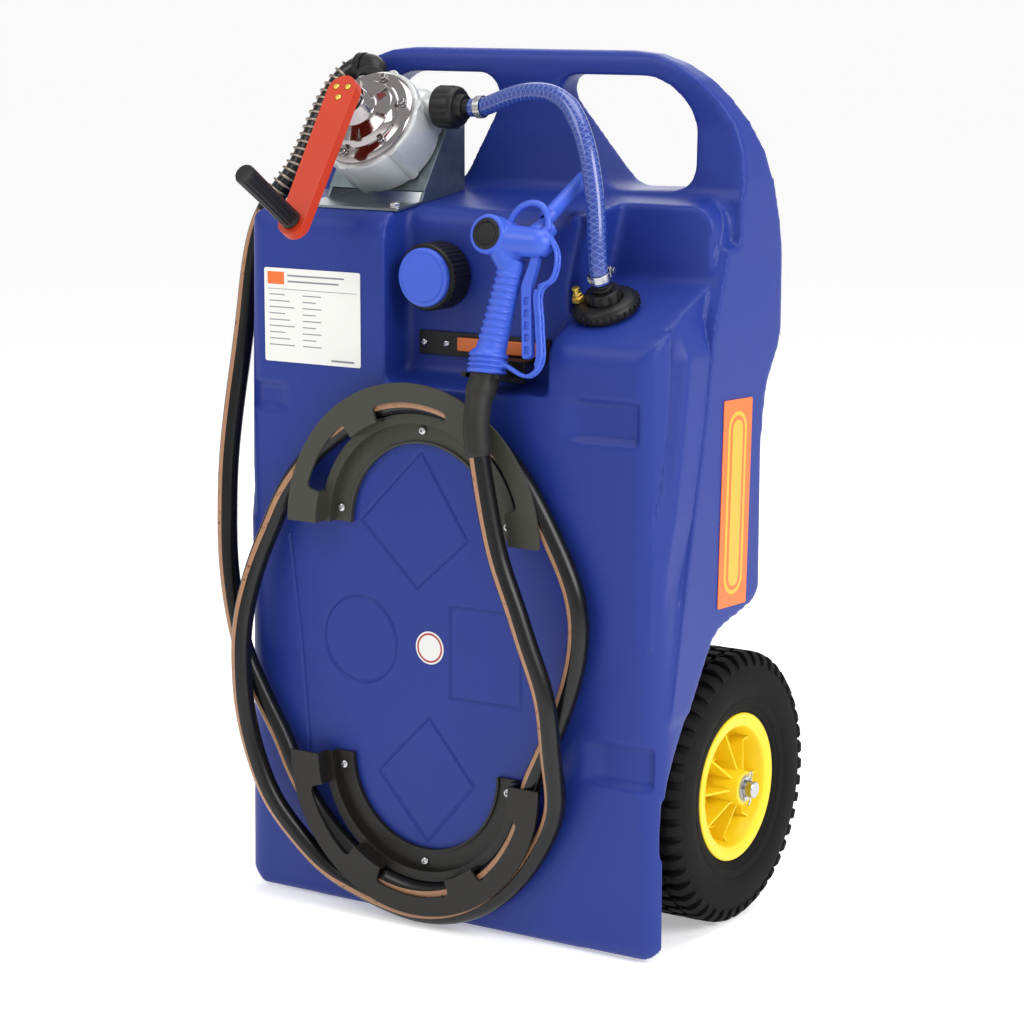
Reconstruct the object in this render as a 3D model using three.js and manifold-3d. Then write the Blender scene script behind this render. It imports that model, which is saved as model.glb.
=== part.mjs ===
// Wheeled fluid transfer caddy: a rotomoulded tank with an integral
// push handle, two pneumatic wheels, a hand crank rotary pump, hoses, nozzle and hose brackets.
// Units are millimetres. +Z is up, -Y is the front, +X is the right-hand side seen from the front.
// The origin is on the floor, on the tank's middle plane.

import * as THREE from "three";
import { mergeVertices } from "three/addons/utils/BufferGeometryUtils.js";
import Module from "manifold-3d";

// ---------------------------------------------------------------- driving dimensions

const tank = {
  halfWidth: 300, // side wings, behind the front block
  blockHalfBottom: 302, // front block, at the floor
  blockHalfTop: 286, // front block, at its top
  front: -160, // front face
  rear: 72, // rear face between the wheels
  height: 1040, // top of the push bar
  topFront: 851, // top surface at its front edge
  topRear: 871, // top surface at the push frame
  wall: 7, // nominal wall
  floor: 0,
};

const wheel = {
  radius: 165, // 13 x 4.00-6 tyre
  width: 94,
  middle: 247, // middle plane of the tyre, from the tank's middle
  y: 50, // axle line
  rimRadius: 90,
  seatRadius: 76,
  axleRadius: 10,
};

const pump = {
  x: -145,
  y: -99, // middle of the cover's rear face
  z: 957,
  tilt: THREE.MathUtils.degToRad(34), // shaft points forward and up
  casingRadius: 68,
  casingDepth: 60,
  coverRadius: 62,
  armLength: 176,
  armOffset: 58, // from the cover's rear face to the middle of the crank arm
};

const hose = { radius: 12.5, suctionRadius: 11 };

const bracket = {
  x: -22,
  upperZ: 481,
  lowerZ: 196,
  screwRadius: 120,
  innerRadius: 104,
  saddleRadius: 141,
  flangeRadius: 179,
  sheet: 4,
  depth: 34, // from the tank's face to the front of the front flange
};

const shelf = { x: 185, y: -90, z: 746.7, tilt: THREE.MathUtils.degToRad(25) };
const filler = { x: -29, z: 779, wallY: -110 };
const gap = 0.3; // clearance between touching pieces
const arcStep = THREE.MathUtils.degToRad(12); // facet angle of rounded corners

// ---------------------------------------------------------------- solids and booleans

const wasm = await Module();
wasm.setup();

// Closed geometry -> manifold solid.
function solid(geometry) {
  const plain = geometry.clone();
  plain.deleteAttribute("normal");
  plain.deleteAttribute("uv");
  const merged = mergeVertices(plain, 1e-4);
  return new wasm.Manifold(
    new wasm.Mesh({
      numProp: 3,
      vertProperties: new Float32Array(merged.attributes.position.array),
      triVerts: new Uint32Array(merged.index.array),
    })
  );
}

// Manifold solid -> geometry.
function geometryOf(body) {
  const mesh = body.getMesh();
  const geometry = new THREE.BufferGeometry();
  geometry.setAttribute("position", new THREE.BufferAttribute(new Float32Array(mesh.vertProperties), 3));
  geometry.setIndex(new THREE.BufferAttribute(new Uint32Array(mesh.triVerts), 1));
  geometry.computeVertexNormals();
  return geometry;
}

const join = (...bodies) => bodies.reduce((whole, body) => whole.add(body));
const cut = (body, ...tools) => tools.reduce((rest, tool) => rest.subtract(tool), body);

// ---------------------------------------------------------------- outlines

// Polygon with rounded corners. Each corner is [u, v, radius]; radius may be left out.
function outline(corners) {
  const points = [];
  const count = corners.length;
  corners.forEach(([u, v, radius = 0], index) => {
    const corner = new THREE.Vector2(u, v);
    if (radius === 0) {
      points.push(corner);
      return;
    }
    const before = corners[(index + count - 1) % count];
    const after = corners[(index + 1) % count];
    const toBefore = new THREE.Vector2(before[0] - u, before[1] - v).normalize();
    const toAfter = new THREE.Vector2(after[0] - u, after[1] - v).normalize();
    const half = Math.acos(THREE.MathUtils.clamp(toBefore.dot(toAfter), -1, 1)) / 2;
    const reach = radius / Math.tan(half);
    const bisector = toBefore.clone().add(toAfter).normalize();
    const centre = corner.clone().addScaledVector(bisector, radius / Math.sin(half));
    const start = corner.clone().addScaledVector(toBefore, reach).sub(centre);
    const sweep = Math.PI - 2 * half;
    const turn = Math.sign(toBefore.cross(toAfter)) * -1;
    const steps = Math.max(2, Math.round(sweep / arcStep));
    for (let step = 0; step <= steps; step += 1) {
      const spoke = start.clone().rotateAround(new THREE.Vector2(), (turn * sweep * step) / steps);
      points.push(centre.clone().add(spoke));
    }
  });
  return points;
}

const shapeOf = (corners, holes = []) => {
  const shape = new THREE.Shape(outline(corners));
  holes.forEach((hole) => shape.holes.push(new THREE.Path(outline(hole))));
  return shape;
};

function extrude(shape, depth) {
  return new THREE.ExtrudeGeometry(shape, { depth, bevelEnabled: false, curveSegments: 16 });
}

const axesX = new THREE.Matrix4().makeBasis(
  new THREE.Vector3(0, 1, 0),
  new THREE.Vector3(0, 0, 1),
  new THREE.Vector3(1, 0, 0)
);
const axesY = new THREE.Matrix4().makeBasis(
  new THREE.Vector3(1, 0, 0),
  new THREE.Vector3(0, 0, 1),
  new THREE.Vector3(0, -1, 0)
);

// Side-view shape (y, z) swept from x0 to x1.
const alongX = (shape, x0, x1) => extrude(shape, x1 - x0).applyMatrix4(axesX).translate(x0, 0, 0);
// Front-view shape (x, z) swept from y0 to y1.
const alongY = (shape, y0, y1) => extrude(shape, y1 - y0).applyMatrix4(axesY).translate(0, y1, 0);
// Plan-view shape (x, y) swept from z0 to z1.
const alongZ = (shape, z0, z1) => extrude(shape, z1 - z0).translate(0, 0, z0);

function box(x0, x1, y0, y1, z0, z1) {
  const geometry = new THREE.BoxGeometry(x1 - x0, y1 - y0, z1 - z0);
  return geometry.translate((x0 + x1) / 2, (y0 + y1) / 2, (z0 + z1) / 2);
}

// Solid of revolution about +Z from [radius, z] corners, listed upwards on the outside.
function turned(corners, segments = 20) {
  const points = corners.map(([radius, z]) => new THREE.Vector2(radius, z));
  points.push(points[0].clone());
  return new THREE.LatheGeometry(points, segments).rotateX(Math.PI / 2);
}

// Turns a solid of revolution made about +Z so that it points along a direction, at a place.
function aim(geometry, direction, place) {
  const turn = new THREE.Quaternion().setFromUnitVectors(
    new THREE.Vector3(0, 0, 1),
    new THREE.Vector3(...direction).normalize()
  );
  return geometry.applyQuaternion(turn).translate(...place);
}

// Loft between two closed outlines with the same number of points.
function loft(lower, upper, z0, z1) {
  const count = lower.length;
  const positions = [];
  lower.forEach((point) => positions.push(point.x, point.y, z0));
  upper.forEach((point) => positions.push(point.x, point.y, z1));
  const index = [];
  for (let i = 0; i < count; i += 1) {
    const j = (i + 1) % count;
    index.push(i, j, count + j, i, count + j, count + i);
  }
  THREE.ShapeUtils.triangulateShape(lower, []).forEach(([a, b, c]) => {
    index.push(c, b, a, count + a, count + b, count + c);
  });
  const geometry = new THREE.BufferGeometry();
  geometry.setAttribute("position", new THREE.Float32BufferAttribute(positions, 3));
  geometry.setIndex(index);
  return geometry;
}

const mirrorX = (corners) => corners.map(([u, v, radius]) => [-u, v, radius]).reverse();

const cylinder = (radius, z0, z1, segments = 20) => turned([[0, z0], [radius, z0], [radius, z1], [0, z1]], segments);

const ring = (inner, outer, z0, z1, segments = 20) =>
  turned([[inner, z0], [outer, z0], [outer, z1], [inner, z1]], segments);

const frontward = [0, -1, 0];

const curveThrough = (points) =>
  new THREE.CatmullRomCurve3(points.map((point) => new THREE.Vector3(...point)), false, "centripetal");

// Stretch of a curve between two parameters. It is stepped by parameter, not by length, so the closer
// the curve's points lie, the finer it is.
class Stretch extends THREE.Curve {
  constructor(curve, from, to) {
    super();
    Object.assign(this, { curve, from, to });
  }
  getPointAt(t, target) {
    return this.curve.getPoint(this.from + (this.to - this.from) * t, target);
  }
  getTangentAt(t, target) {
    return this.curve.getTangent(this.from + (this.to - this.from) * t, target);
  }
}

// Round bar along a stretch of a curve.
function tube(curve, { radius, steps, sides = 12, from = 0, to = 1 }) {
  const section = new THREE.Shape(
    Array.from({ length: sides }, (_, side) => {
      const angle = (2 * Math.PI * side) / sides;
      return new THREE.Vector2(radius * Math.cos(angle), radius * Math.sin(angle));
    })
  );
  const extrudePath = new Stretch(curve, from, to);
  return new THREE.ExtrudeGeometry(section, { steps, bevelEnabled: false, extrudePath });
}

const bracketScrewAngles = [8, 90, 172].map(THREE.MathUtils.degToRad);
const bracketScrewPlaces = [1, -1].flatMap((side) =>
  bracketScrewAngles.map((angle) => [
    bracket.x + bracket.screwRadius * Math.cos(angle),
    (side > 0 ? bracket.upperZ : bracket.lowerZ) + side * bracket.screwRadius * Math.sin(angle),
  ])
);

// ---------------------------------------------------------------- tank moulding

// Side view (y, z) of the whole moulding, clockwise from the front of the floor.
const sideOutline = [
  [tank.front, tank.floor, 18],
  [tank.front, tank.topFront - 1, 26],
  [20, tank.topRear, 16],
  [24, 955, 60],
  [6, 1008, 25],
  [6, tank.height, 13],
  [37, tank.height, 13],
  [57, 975, 80],
  [98, 888, 90],
  [128, 800, 90],
  [129, 716, 30],
  [84, 648, 60],
  [tank.rear, 570, 60],
  [tank.rear, tank.floor, 14],
];

// Wings: everything behind the crease that runs from the push frame down to the wheel arch.
const wingOutline = [
  [-138, 285],
  [-66, 618, 300],
  [-46, 729, 300],
  [22, 905, 40],
  [24, 955],
  [0, 1000],
  [0, 1100],
  [200, 1100],
  [200, 285],
];

// Band between the two creases, sunk below the wings.
const bandOutline = [
  [-220, 400],
  [-112, 420],
  [-66, 618, 300],
  [-46, 729, 300],
  [-10, 828],
  [-60, 840],
  [-112, 760, 60],
  [-132, 680, 200],
  [-148, 590, 200],
  [-220, 480],
];

const archOutline = [
  [-144, -20],
  [-144, 205, 150],
  [-34, 372, 60],
  [56, 392, 14],
  [90, 420],
  [200, 420],
  [200, -20],
];

const frontOutline = [
  [-tank.halfWidth - 4, tank.floor, 38],
  [tank.halfWidth + 4, tank.floor, 38],
  [tank.halfWidth, 830],
  [tank.halfWidth, tank.height, 145],
  [-tank.halfWidth, tank.height, 145],
  [-tank.halfWidth, 830],
];

const handHole = [
  [116, 877, 32],
  [233, 880, 28],
  [233, 1011, 62],
  [42, 1011, 22],
];

const pocket = { left: -80, right: 146, back: filler.wallY };

function pocketOutline(grow) {
  return [
    [-230, 651 - grow],
    [-150, 653 - grow],
    [pocket.back + grow, 660 - grow, 16],
    [pocket.back + grow, 856, grow ? 0 : 26],
    [10, tank.topRear],
    [10, 1000],
    [-230, 1000],
  ];
}

const topSlope = (tank.topRear - tank.topFront + 1) / (20 - tank.front);
const shelfSlope = Math.tan(shelf.tilt);
const shelfHeight = (y) => shelf.z + (y - shelf.y) * shelfSlope;

function shelfOutline(sink) {
  return [
    [-230, sink ? shelfHeight(-230) - sink : 560],
    ...(sink ? [] : [[tank.front - 0.4, 560], [tank.front - 0.4, shelfHeight(tank.front), 34]]),
    [-25 + sink, shelfHeight(-25) - sink, sink ? 0 : 14],
    [-25 + sink, 1000],
    [-230, 1000],
  ];
}

// Front view of the space above the right-hand shelf; its left side leans outwards.
const shelfSpace = [
  [144, 540],
  [144, 775],
  [166, 866],
  [166, 1010],
  [330, 1010],
  [330, 540],
];

// Corner rounding of the front block's top edge, which slopes up to the rear like the top itself.
function shoulderCut(side) {
  const square = [
    [side * 250, 800],
    [side * 250, 900],
    [side * 330, 900],
    [side * 330, 800],
  ];
  const kept = [
    [side * 240, 790],
    [side * (tank.blockHalfTop + 1.2), 790],
    [side * (tank.blockHalfTop - 0.3), 853, 34],
    [side * 240, 851.5],
  ];
  const shear = new THREE.Matrix4().set(1, 0, 0, 0, 0, 1, 0, 0, 0, topSlope, 1, -topSlope * tank.front, 0, 0, 0, 1);
  const sloped = (corners, y0, y1) => solid(alongY(shapeOf(corners), y0, y1).applyMatrix4(shear));
  return cut(sloped(square, -230, 16), sloped(kept, -240, 20));
}

function frontBlock() {
  const plan = (half) =>
    outline([
      [-half, tank.front, 30],
      [half, tank.front, 30],
      [half, tank.rear + 10],
      [-half, tank.rear + 10],
    ]);
  return solid(loft(plan(tank.blockHalfBottom), plan(tank.blockHalfTop), -10, 890));
}

function wings() {
  const half = tank.halfWidth;
  const plan = [
    [-half, -200],
    [half, -200],
    [half, 129.5, 16],
    [-half, 129.5, 16],
  ];
  const side = solid(alongX(shapeOf(wingOutline), -half, half));
  return side.intersect(solid(alongZ(shapeOf(plan), 0, 1200)));
}

// Space inside the moulding, one wall thickness inside its faces.
function cavity() {
  const lower = cut(solid(box(-185, 185, -152, 64, 7, 640)), solid(box(-200, 200, 30, 80, 144, 186)));
  const wide = [
    [-152, 300],
    [-106, 300],
    [-36, 385, 40],
    [60, 404, 10],
    [64, 570],
    [76, 655],
    [118, 722],
    [118, 798],
    [100, 858],
    [20, 861],
    [-128, 842, 20],
    [-152, 825, 10],
  ];
  const upper = solid(alongX(shapeOf(wide), -275, 275));
  const pocketWall = solid(alongX(shapeOf(pocketOutline(tank.wall)), pocket.left - 7, pocket.right + 7));
  const shelfWall = solid(alongX(shapeOf(shelfOutline(tank.wall)), 137, 320));
  const corners = [-1, 1].map((side) => solid(box(side * 282 - 18, side * 282 + 18, -160, 80, 838, 900)));
  return cut(join(lower, upper), pocketWall, shelfWall, ...corners);
}

function tankBody() {
  const whole = solid(alongX(shapeOf(sideOutline), -310, 310));
  const front = solid(alongY(shapeOf(frontOutline), -200, 200));
  let body = join(frontBlock(), wings()).intersect(whole).intersect(front);
  const archDepth = wheel.middle - wheel.width / 2 - 8;
  [-1, 1].forEach((side) => {
    const near = Math.min(side * archDepth, side * 320);
    const far = Math.max(side * archDepth, side * 320);
    body = cut(body, solid(alongX(shapeOf(archOutline), near, far)), shoulderCut(side));
    const bandFace = side > 0 ? 283 : -320;
    body = cut(body, solid(alongX(shapeOf(bandOutline), bandFace, bandFace + 37)));
  });
  const shelfSweep = solid(alongX(shapeOf(shelfOutline(0)), 130, 320));
  const openFront = solid(box(pocket.right - 1, 330, -240, pocket.back + 1, 540, 1010));
  body = cut(
    body,
    solid(alongX(shapeOf(pocketOutline(0)), pocket.left, pocket.right)),
    shelfSweep.intersect(join(solid(alongY(shapeOf(shelfSpace), pocket.back, 20)), openFront)),
    solid(alongY(shapeOf(handHole), -20, 200)),
    solid(alongY(shapeOf(mirrorX(handHole).map(([x, z, r]) => [x + 24, z, r])), -20, 200)),
    cavity()
  );
  const fillHole = aim(cylinder(30.6, -20, 20, 32), frontward, [filler.x, filler.wallY, filler.z]);
  const shelfNormal = [0, -Math.sin(shelf.tilt), Math.cos(shelf.tilt)];
  const suctionHole = aim(cylinder(28.3, -20, 20, 32), shelfNormal, [shelf.x, shelf.y, shelf.z]);
  const slotHalf = wheel.axleRadius + 1;
  const axleSlot = [
    [100, wheel.radius - slotHalf],
    [100, wheel.radius + slotHalf],
    [wheel.y - slotHalf, wheel.radius + slotHalf, slotHalf - 0.1],
    [wheel.y - slotHalf, wheel.radius - slotHalf, slotHalf - 0.1],
  ];
  const slot = solid(alongX(shapeOf(axleSlot), -320, 320));
  const screwHoles = bracketScrewPlaces.map(([x, z]) =>
    solid(aim(cylinder(2.6, -1, 5.5, 10), [0, 1, 0], [x, tank.front, z]))
  );
  return cut(body, solid(fillHole), solid(suctionHole), slot, ...screwHoles);
}

// ---------------------------------------------------------------- materials and assembly

const looks = {
  blue: { color: 0x2b3a9a, roughness: 0.5, metalness: 0 },
  lightBlue: { color: 0x4a6be0, roughness: 0.4, metalness: 0 },
  black: { color: 0x17181a, roughness: 0.55, metalness: 0 },
  rubber: { color: 0x101112, roughness: 0.8, metalness: 0 },
  hose: { color: 0x141516, roughness: 0.45, metalness: 0 },
  clearBlue: { color: 0x2f55b8, roughness: 0.25, metalness: 0 },
  yellow: { color: 0xe8cf2c, roughness: 0.45, metalness: 0 },
  red: { color: 0xd2452c, roughness: 0.4, metalness: 0 },
  orange: { color: 0xe8792f, roughness: 0.5, metalness: 0 },
  white: { color: 0xf2f2ee, roughness: 0.5, metalness: 0 },
  chrome: { color: 0xd8dadc, roughness: 0.12, metalness: 1 },
  castGrey: { color: 0xb9bcbd, roughness: 0.4, metalness: 0.6 },
  zinc: { color: 0xa3adb0, roughness: 0.35, metalness: 1 },
  steel: { color: 0xc4c7c9, roughness: 0.25, metalness: 1 },
  brass: { color: 0xc9a24a, roughness: 0.3, metalness: 1 },
};

const caddy = new THREE.Group();

function add(name, shape, look, parent = caddy) {
  const geometry = shape.isBufferGeometry ? shape : geometryOf(shape);
  const mesh = new THREE.Mesh(geometry, new THREE.MeshStandardMaterial(looks[look]));
  mesh.name = name;
  parent.add(mesh);
}

// ---------------------------------------------------------------- tank and labels

add("tank", tankBody(), "blue");
add("label_plate", box(-256, -114, tank.front - 1.1, tank.front - gap, 667, 780), "white");

const stickerLean = THREE.MathUtils.degToRad(-2.4);
[["left", -1], ["right", 1]].forEach(([hand, side]) => {
  const sticker = new THREE.BoxGeometry(0.8, 68, 244).rotateX(stickerLean);
  add(`side_sticker_${hand}`, sticker.translate(side * (tank.halfWidth + 0.7), 8, 520), "orange");
});

// ---------------------------------------------------------------- hose brackets

// Crescent moulding: back flange on the tank, stepped saddle for the hose, wide front flange.
// The hose shows through its three windows. Made above the origin, standing on the plane y = tank.front.
function hoseBracket() {
  const { sheet, innerRadius, saddleRadius, flangeRadius, depth } = bracket;
  const wallRadius = saddleRadius - 8;
  const step = 16;
  const profile = [
    [innerRadius, gap],
    [wallRadius, gap],
    [wallRadius, step - sheet],
    [saddleRadius, step - sheet],
    [saddleRadius, depth - sheet],
    [flangeRadius, depth - sheet],
    [flangeRadius, depth],
    [saddleRadius - sheet, depth],
    [saddleRadius - sheet, step],
    [wallRadius - sheet, step],
    [wallRadius - sheet, gap + sheet],
    [innerRadius, gap + sheet],
  ];
  const whole = solid(aim(turned(profile, 40), frontward, [0, tank.front, 0]));
  const lowerHalf = solid(box(-200, 200, -300, 0, -200, 0));
  const window = (from, to) => {
    const arc = (radius, start, end) =>
      [0, 0.25, 0.5, 0.75, 1].map((part) => {
        const angle = THREE.MathUtils.degToRad(start + (end - start) * part);
        return new THREE.Vector2(radius * Math.cos(angle), radius * Math.sin(angle));
      });
    const shape = new THREE.Shape([...arc(saddleRadius + 15, from, to), ...arc(wallRadius + 1, to, from)]);
    return solid(alongY(shape, tank.front - depth - 5, tank.front - step - 0.5));
  };
  const screwHoles = bracketScrewAngles.map((angle) => {
    const place = [bracket.screwRadius * Math.cos(angle), tank.front + 10, bracket.screwRadius * Math.sin(angle)];
    return solid(aim(cylinder(2.8, 0, 40, 10), frontward, place));
  });
  const windows = [window(16, 52), window(70, 110), window(128, 164)];
  return geometryOf(cut(whole, lowerHalf, ...windows, ...screwHoles));
}

add("hose_bracket_upper", hoseBracket().translate(bracket.x, 0, bracket.upperZ), "black");
add("hose_bracket_lower", hoseBracket().rotateY(Math.PI).translate(bracket.x, 0, bracket.lowerZ), "black");

bracketScrewPlaces.forEach(([x, z], index) => {
  const screw = turned([[0, -9.5], [2.3, -9.5], [2.3, 0], [5.5, 0], [5.5, 1.4], [3.6, 3.4], [0, 3.8]], 12);
  const seat = tank.front - 2 * gap - bracket.sheet;
  add(`bracket_screw_${index + 1}`, aim(screw, frontward, [x, seat, z]), "steel");
});

// ---------------------------------------------------------------- filler

const fillerGroup = new THREE.Group();
fillerGroup.position.set(filler.x, filler.wallY, filler.z);
fillerGroup.rotation.x = Math.PI / 2; // local +Z points forward
caddy.add(fillerGroup);

add("filler_neck", turned([[24, -14], [36, -14], [36, -8], [30, -8], [30, 27], [24, 27]], 32), "black", fillerGroup);
add("filler_gasket", ring(24, 31, 27.3, 30, 32), "rubber", fillerGroup);
add("filler_cap", turned([[0, 30.3], [31.8, 30.3], [31.8, 1], [40, 1], [40, 36], [38, 38], [0, 38]], 32),
  "black", fillerGroup);
add("filler_cap_disc", turned([[0, 38.3], [34.5, 38.3], [34.5, 43], [32.5, 45], [0, 45.6]], 32),
  "lightBlue", fillerGroup);

// ---------------------------------------------------------------- suction fitting and hose

const suctionGroup = new THREE.Group();
suctionGroup.position.set(shelf.x, shelf.y, shelf.z);
suctionGroup.rotation.x = shelf.tilt; // local +Z is square to the shelf
caddy.add(suctionGroup);

add("suction_gasket", ring(27.8, 34, gap, 2.3), "rubber", suctionGroup);
const flangeNut = turned(
  [[8.6, -16], [27.5, -16], [27.5, 2], [26.7, 2.6], [40, 2.6], [40, 12], [36, 17], [20.5, 17.5], [19.5, 29],
    [8.6, 29]]
);
const valvePlace = [-29.5, -9, 0];
const valveHole = cylinder(4.3, 7.7, 60, 16).translate(...valvePlace);
add("suction_flange", cut(solid(flangeNut), solid(valveHole)), "black", suctionGroup);
add("suction_tail", turned([[6, 0], [8.3, 0], [8.3, 29.3], [12, 29.3], [12, 33], [9, 34], [9, 36], [6, 36]]),
  "black", suctionGroup);
add("vent_valve", turned([[0, 8], [4, 8], [4, 17.6], [8.5, 17.6], [8.5, 23], [4.5, 25], [4.5, 34], [0, 35]], 20)
  .translate(...valvePlace), "brass", suctionGroup);

const pipeTop = new THREE.Vector3(0, 0, -1).applyAxisAngle(new THREE.Vector3(1, 0, 0), shelf.tilt);
const pipeStart = [shelf.x + 17 * pipeTop.x, shelf.y + 17 * pipeTop.y, shelf.z + 17 * pipeTop.z];
const pipeFoot = [110, -40, 44];
const pipeRun = pipeFoot.map((value, axis) => value - pipeStart[axis]);
const pipeLength = Math.hypot(...pipeRun);
add("suction_pipe", aim(ring(6, 8.2, 3, pipeLength, 20), pipeRun, pipeStart), "black");
const strainer = turned([[0, -12], [15, -12], [15, 16], [11, 22], [8.5, 22], [8.5, -0.5], [0, -0.5]]);
add("foot_strainer", aim(strainer, pipeRun.map((value) => -value), pipeFoot), "black");

const suctionCurve = curveThrough([
  [185, -106, 781], [185, -110.8, 792.5], [184, -112, 812], [181.5, -110, 840], [177, -106, 872],
  [169, -101, 905], [158, -95, 935], [143, -88, 961], [124, -80, 980], [100, -73, 990.5], [73, -67, 993],
  [46, -62, 990], [20, -57.5, 983], [-4, -54, 975], [-18, -53.1, 972.1], [-27, -53, 971.8],
]);
add("suction_hose", tube(suctionCurve, { radius: hose.suctionRadius, steps: 32 }), "clearBlue");

// Worm-drive hose clamp about +Z with its screw housing on one side.
function hoseClamp(radius) {
  const band = solid(ring(radius + 0.4, radius + 1.6, 0, 9));
  const housing = solid(box(-7, 7, radius + 1, radius + 7, -1, 10));
  const screw = solid(new THREE.CylinderGeometry(3, 3, 20, 16).rotateZ(Math.PI / 2).translate(2, radius + 4.5, 4.5));
  return geometryOf(join(band, housing, screw));
}
const clampRadius = hose.suctionRadius + 0.8;
add("suction_clamp_tank", aim(hoseClamp(clampRadius), [0, -0.4, 0.91], [185, -107.6, 784.6]), "steel");
add("suction_clamp_pump", aim(hoseClamp(clampRadius), [-1, 0.02, -0.05], [-9, -53.6, 973.4]), "steel");

// ---------------------------------------------------------------- pump

const pumpGroup = new THREE.Group();
pumpGroup.position.set(pump.x, pump.y, pump.z);
pumpGroup.rotation.x = Math.PI / 2 - pump.tilt; // local +Z is the shaft, local +Y is up the slope
caddy.add(pumpGroup);

const port = { outletX: -40, inletY: 38, z: -30, radius: 17, bore: 9 };
const chamberRadius = 50;

function pumpHousing() {
  const { casingRadius, casingDepth } = pump;
  const shell = solid(
    turned([[0, -casingDepth], [casingRadius - 5, -casingDepth], [casingRadius, 5 - casingDepth],
      [casingRadius, 0], [0, 0]], 28)
  );
  const outlet = solid(aim(cylinder(port.radius, 10, 70), [0, 1, 0], [port.outletX, 0, port.z]));
  const inlet = solid(aim(cylinder(port.radius, 10, 72), [1, 0, 0], [0, port.inletY, port.z]));
  const chamber = solid(cylinder(chamberRadius, 8 - casingDepth, 5, 32));
  const outletBore = solid(aim(cylinder(port.bore, 20, 90), [0, 1, 0], [port.outletX, 0, port.z]));
  const inletBore = solid(aim(cylinder(port.bore, 20, 90), [1, 0, 0], [0, port.inletY, port.z]));
  return cut(join(shell, outlet, inlet), chamber, outletBore, inletBore);
}

function rotor() {
  const drum = solid(ring(8.3, 42, 8.4 - pump.casingDepth, -1));
  const slot = solid(box(-2.6, 2.6, 14, 60, -70, 10));
  const opposite = solid(box(-2.6, 2.6, -60, -14, -70, 10));
  return cut(drum, slot, opposite);
}

const fitted = pump.coverRadius;
add("pump_housing", pumpHousing(), "castGrey", pumpGroup);
add("pump_cover", turned([[12.4, gap], [fitted, gap], [fitted, 5], [fitted - 4, 9], [46, 11], [42, 19],
  [24, 24], [20, 44], [12.4, 44]], 28), "chrome", pumpGroup);
add("shaft_bush", ring(8.4, 12.1, 6, 44.5, 24), "brass", pumpGroup);
add("pump_rotor", rotor(), "castGrey", pumpGroup);
add("rotor_vane_upper", box(-2.3, 2.3, 22, 49, 9 - pump.casingDepth, -1.5), "black", pumpGroup);
add("rotor_vane_lower", box(-2.3, 2.3, -49, -22, 9 - pump.casingDepth, -1.5), "black", pumpGroup);

const armBack = pump.armOffset - 7;
const armFront = pump.armOffset + 7;
add("pump_shaft", turned([[0, 10 - pump.casingDepth], [8, 10 - pump.casingDepth], [8, 45], [17, 45],
  [17, armBack - gap], [0, armBack - gap]], 24), "steel", pumpGroup);

function crankArm() {
  const foot = -pump.armLength - 18;
  const plate = solid(alongZ(shapeOf([[-20, 20, 19], [-18, foot, 17], [18, foot, 17], [20, 20, 19]]), armBack, armFront));
  const pinHole = solid(cylinder(5.3, -50, 150, 20).translate(0, -pump.armLength, 0));
  return cut(plate, pinHole);
}
add("crank_arm", crankArm(), "red", pumpGroup);

const gripTop = armFront + 106;
add("crank_pin", turned([[0, armBack - 3], [8, armBack - 3], [8, armBack - gap], [5, armBack - gap],
  [5, gripTop - 9], [0, gripTop - 9]], 20).translate(0, -pump.armLength, 0), "steel", pumpGroup);
add("crank_grip", turned([[5.4, armFront + 1], [12, armFront + 1], [11, armFront + 40], [12.5, gripTop - 3],
  [10, gripTop], [0, gripTop], [0, gripTop - 8], [5.4, gripTop - 8]], 24).translate(0, -pump.armLength, 0),
  "black", pumpGroup);

const elbowY = 91;
function outletElbow() {
  const rise = solid(aim(cylinder(16, 70.4, elbowY + 15), [0, 1, 0], [port.outletX, 0, port.z]));
  const nut = solid(aim(turned([[0, 70.4], [20, 70.4], [20, 80], [0, 80]], 8), [0, 1, 0], [port.outletX, 0, port.z]));
  const arm = solid(aim(cylinder(15.5, 0, 27), [-1, 0, 0], [port.outletX, elbowY, port.z]));
  const riseBore = solid(aim(cylinder(port.bore, 60, elbowY + 6), [0, 1, 0], [port.outletX, 0, port.z]));
  const armBore = solid(aim(cylinder(port.bore, -4, 40), [-1, 0, 0], [port.outletX, elbowY, port.z]));
  return cut(join(rise, nut, arm), riseBore, armBore);
}
add("outlet_elbow", outletElbow(), "black", pumpGroup);

function inletUnion() {
  const nut = turned([[port.bore, 72.4], [25, 72.4], [26, 76], [26, 96], [22, 102], [16, 102.5], [15, 110],
    [9.5, 111], [9.5, 117], [port.bore - 2, 117], [port.bore - 2, 100], [port.bore, 98]], 12);
  return aim(nut, [1, 0, 0], [0, port.inletY, port.z]);
}
add("inlet_union", inletUnion(), "black", pumpGroup);

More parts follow.
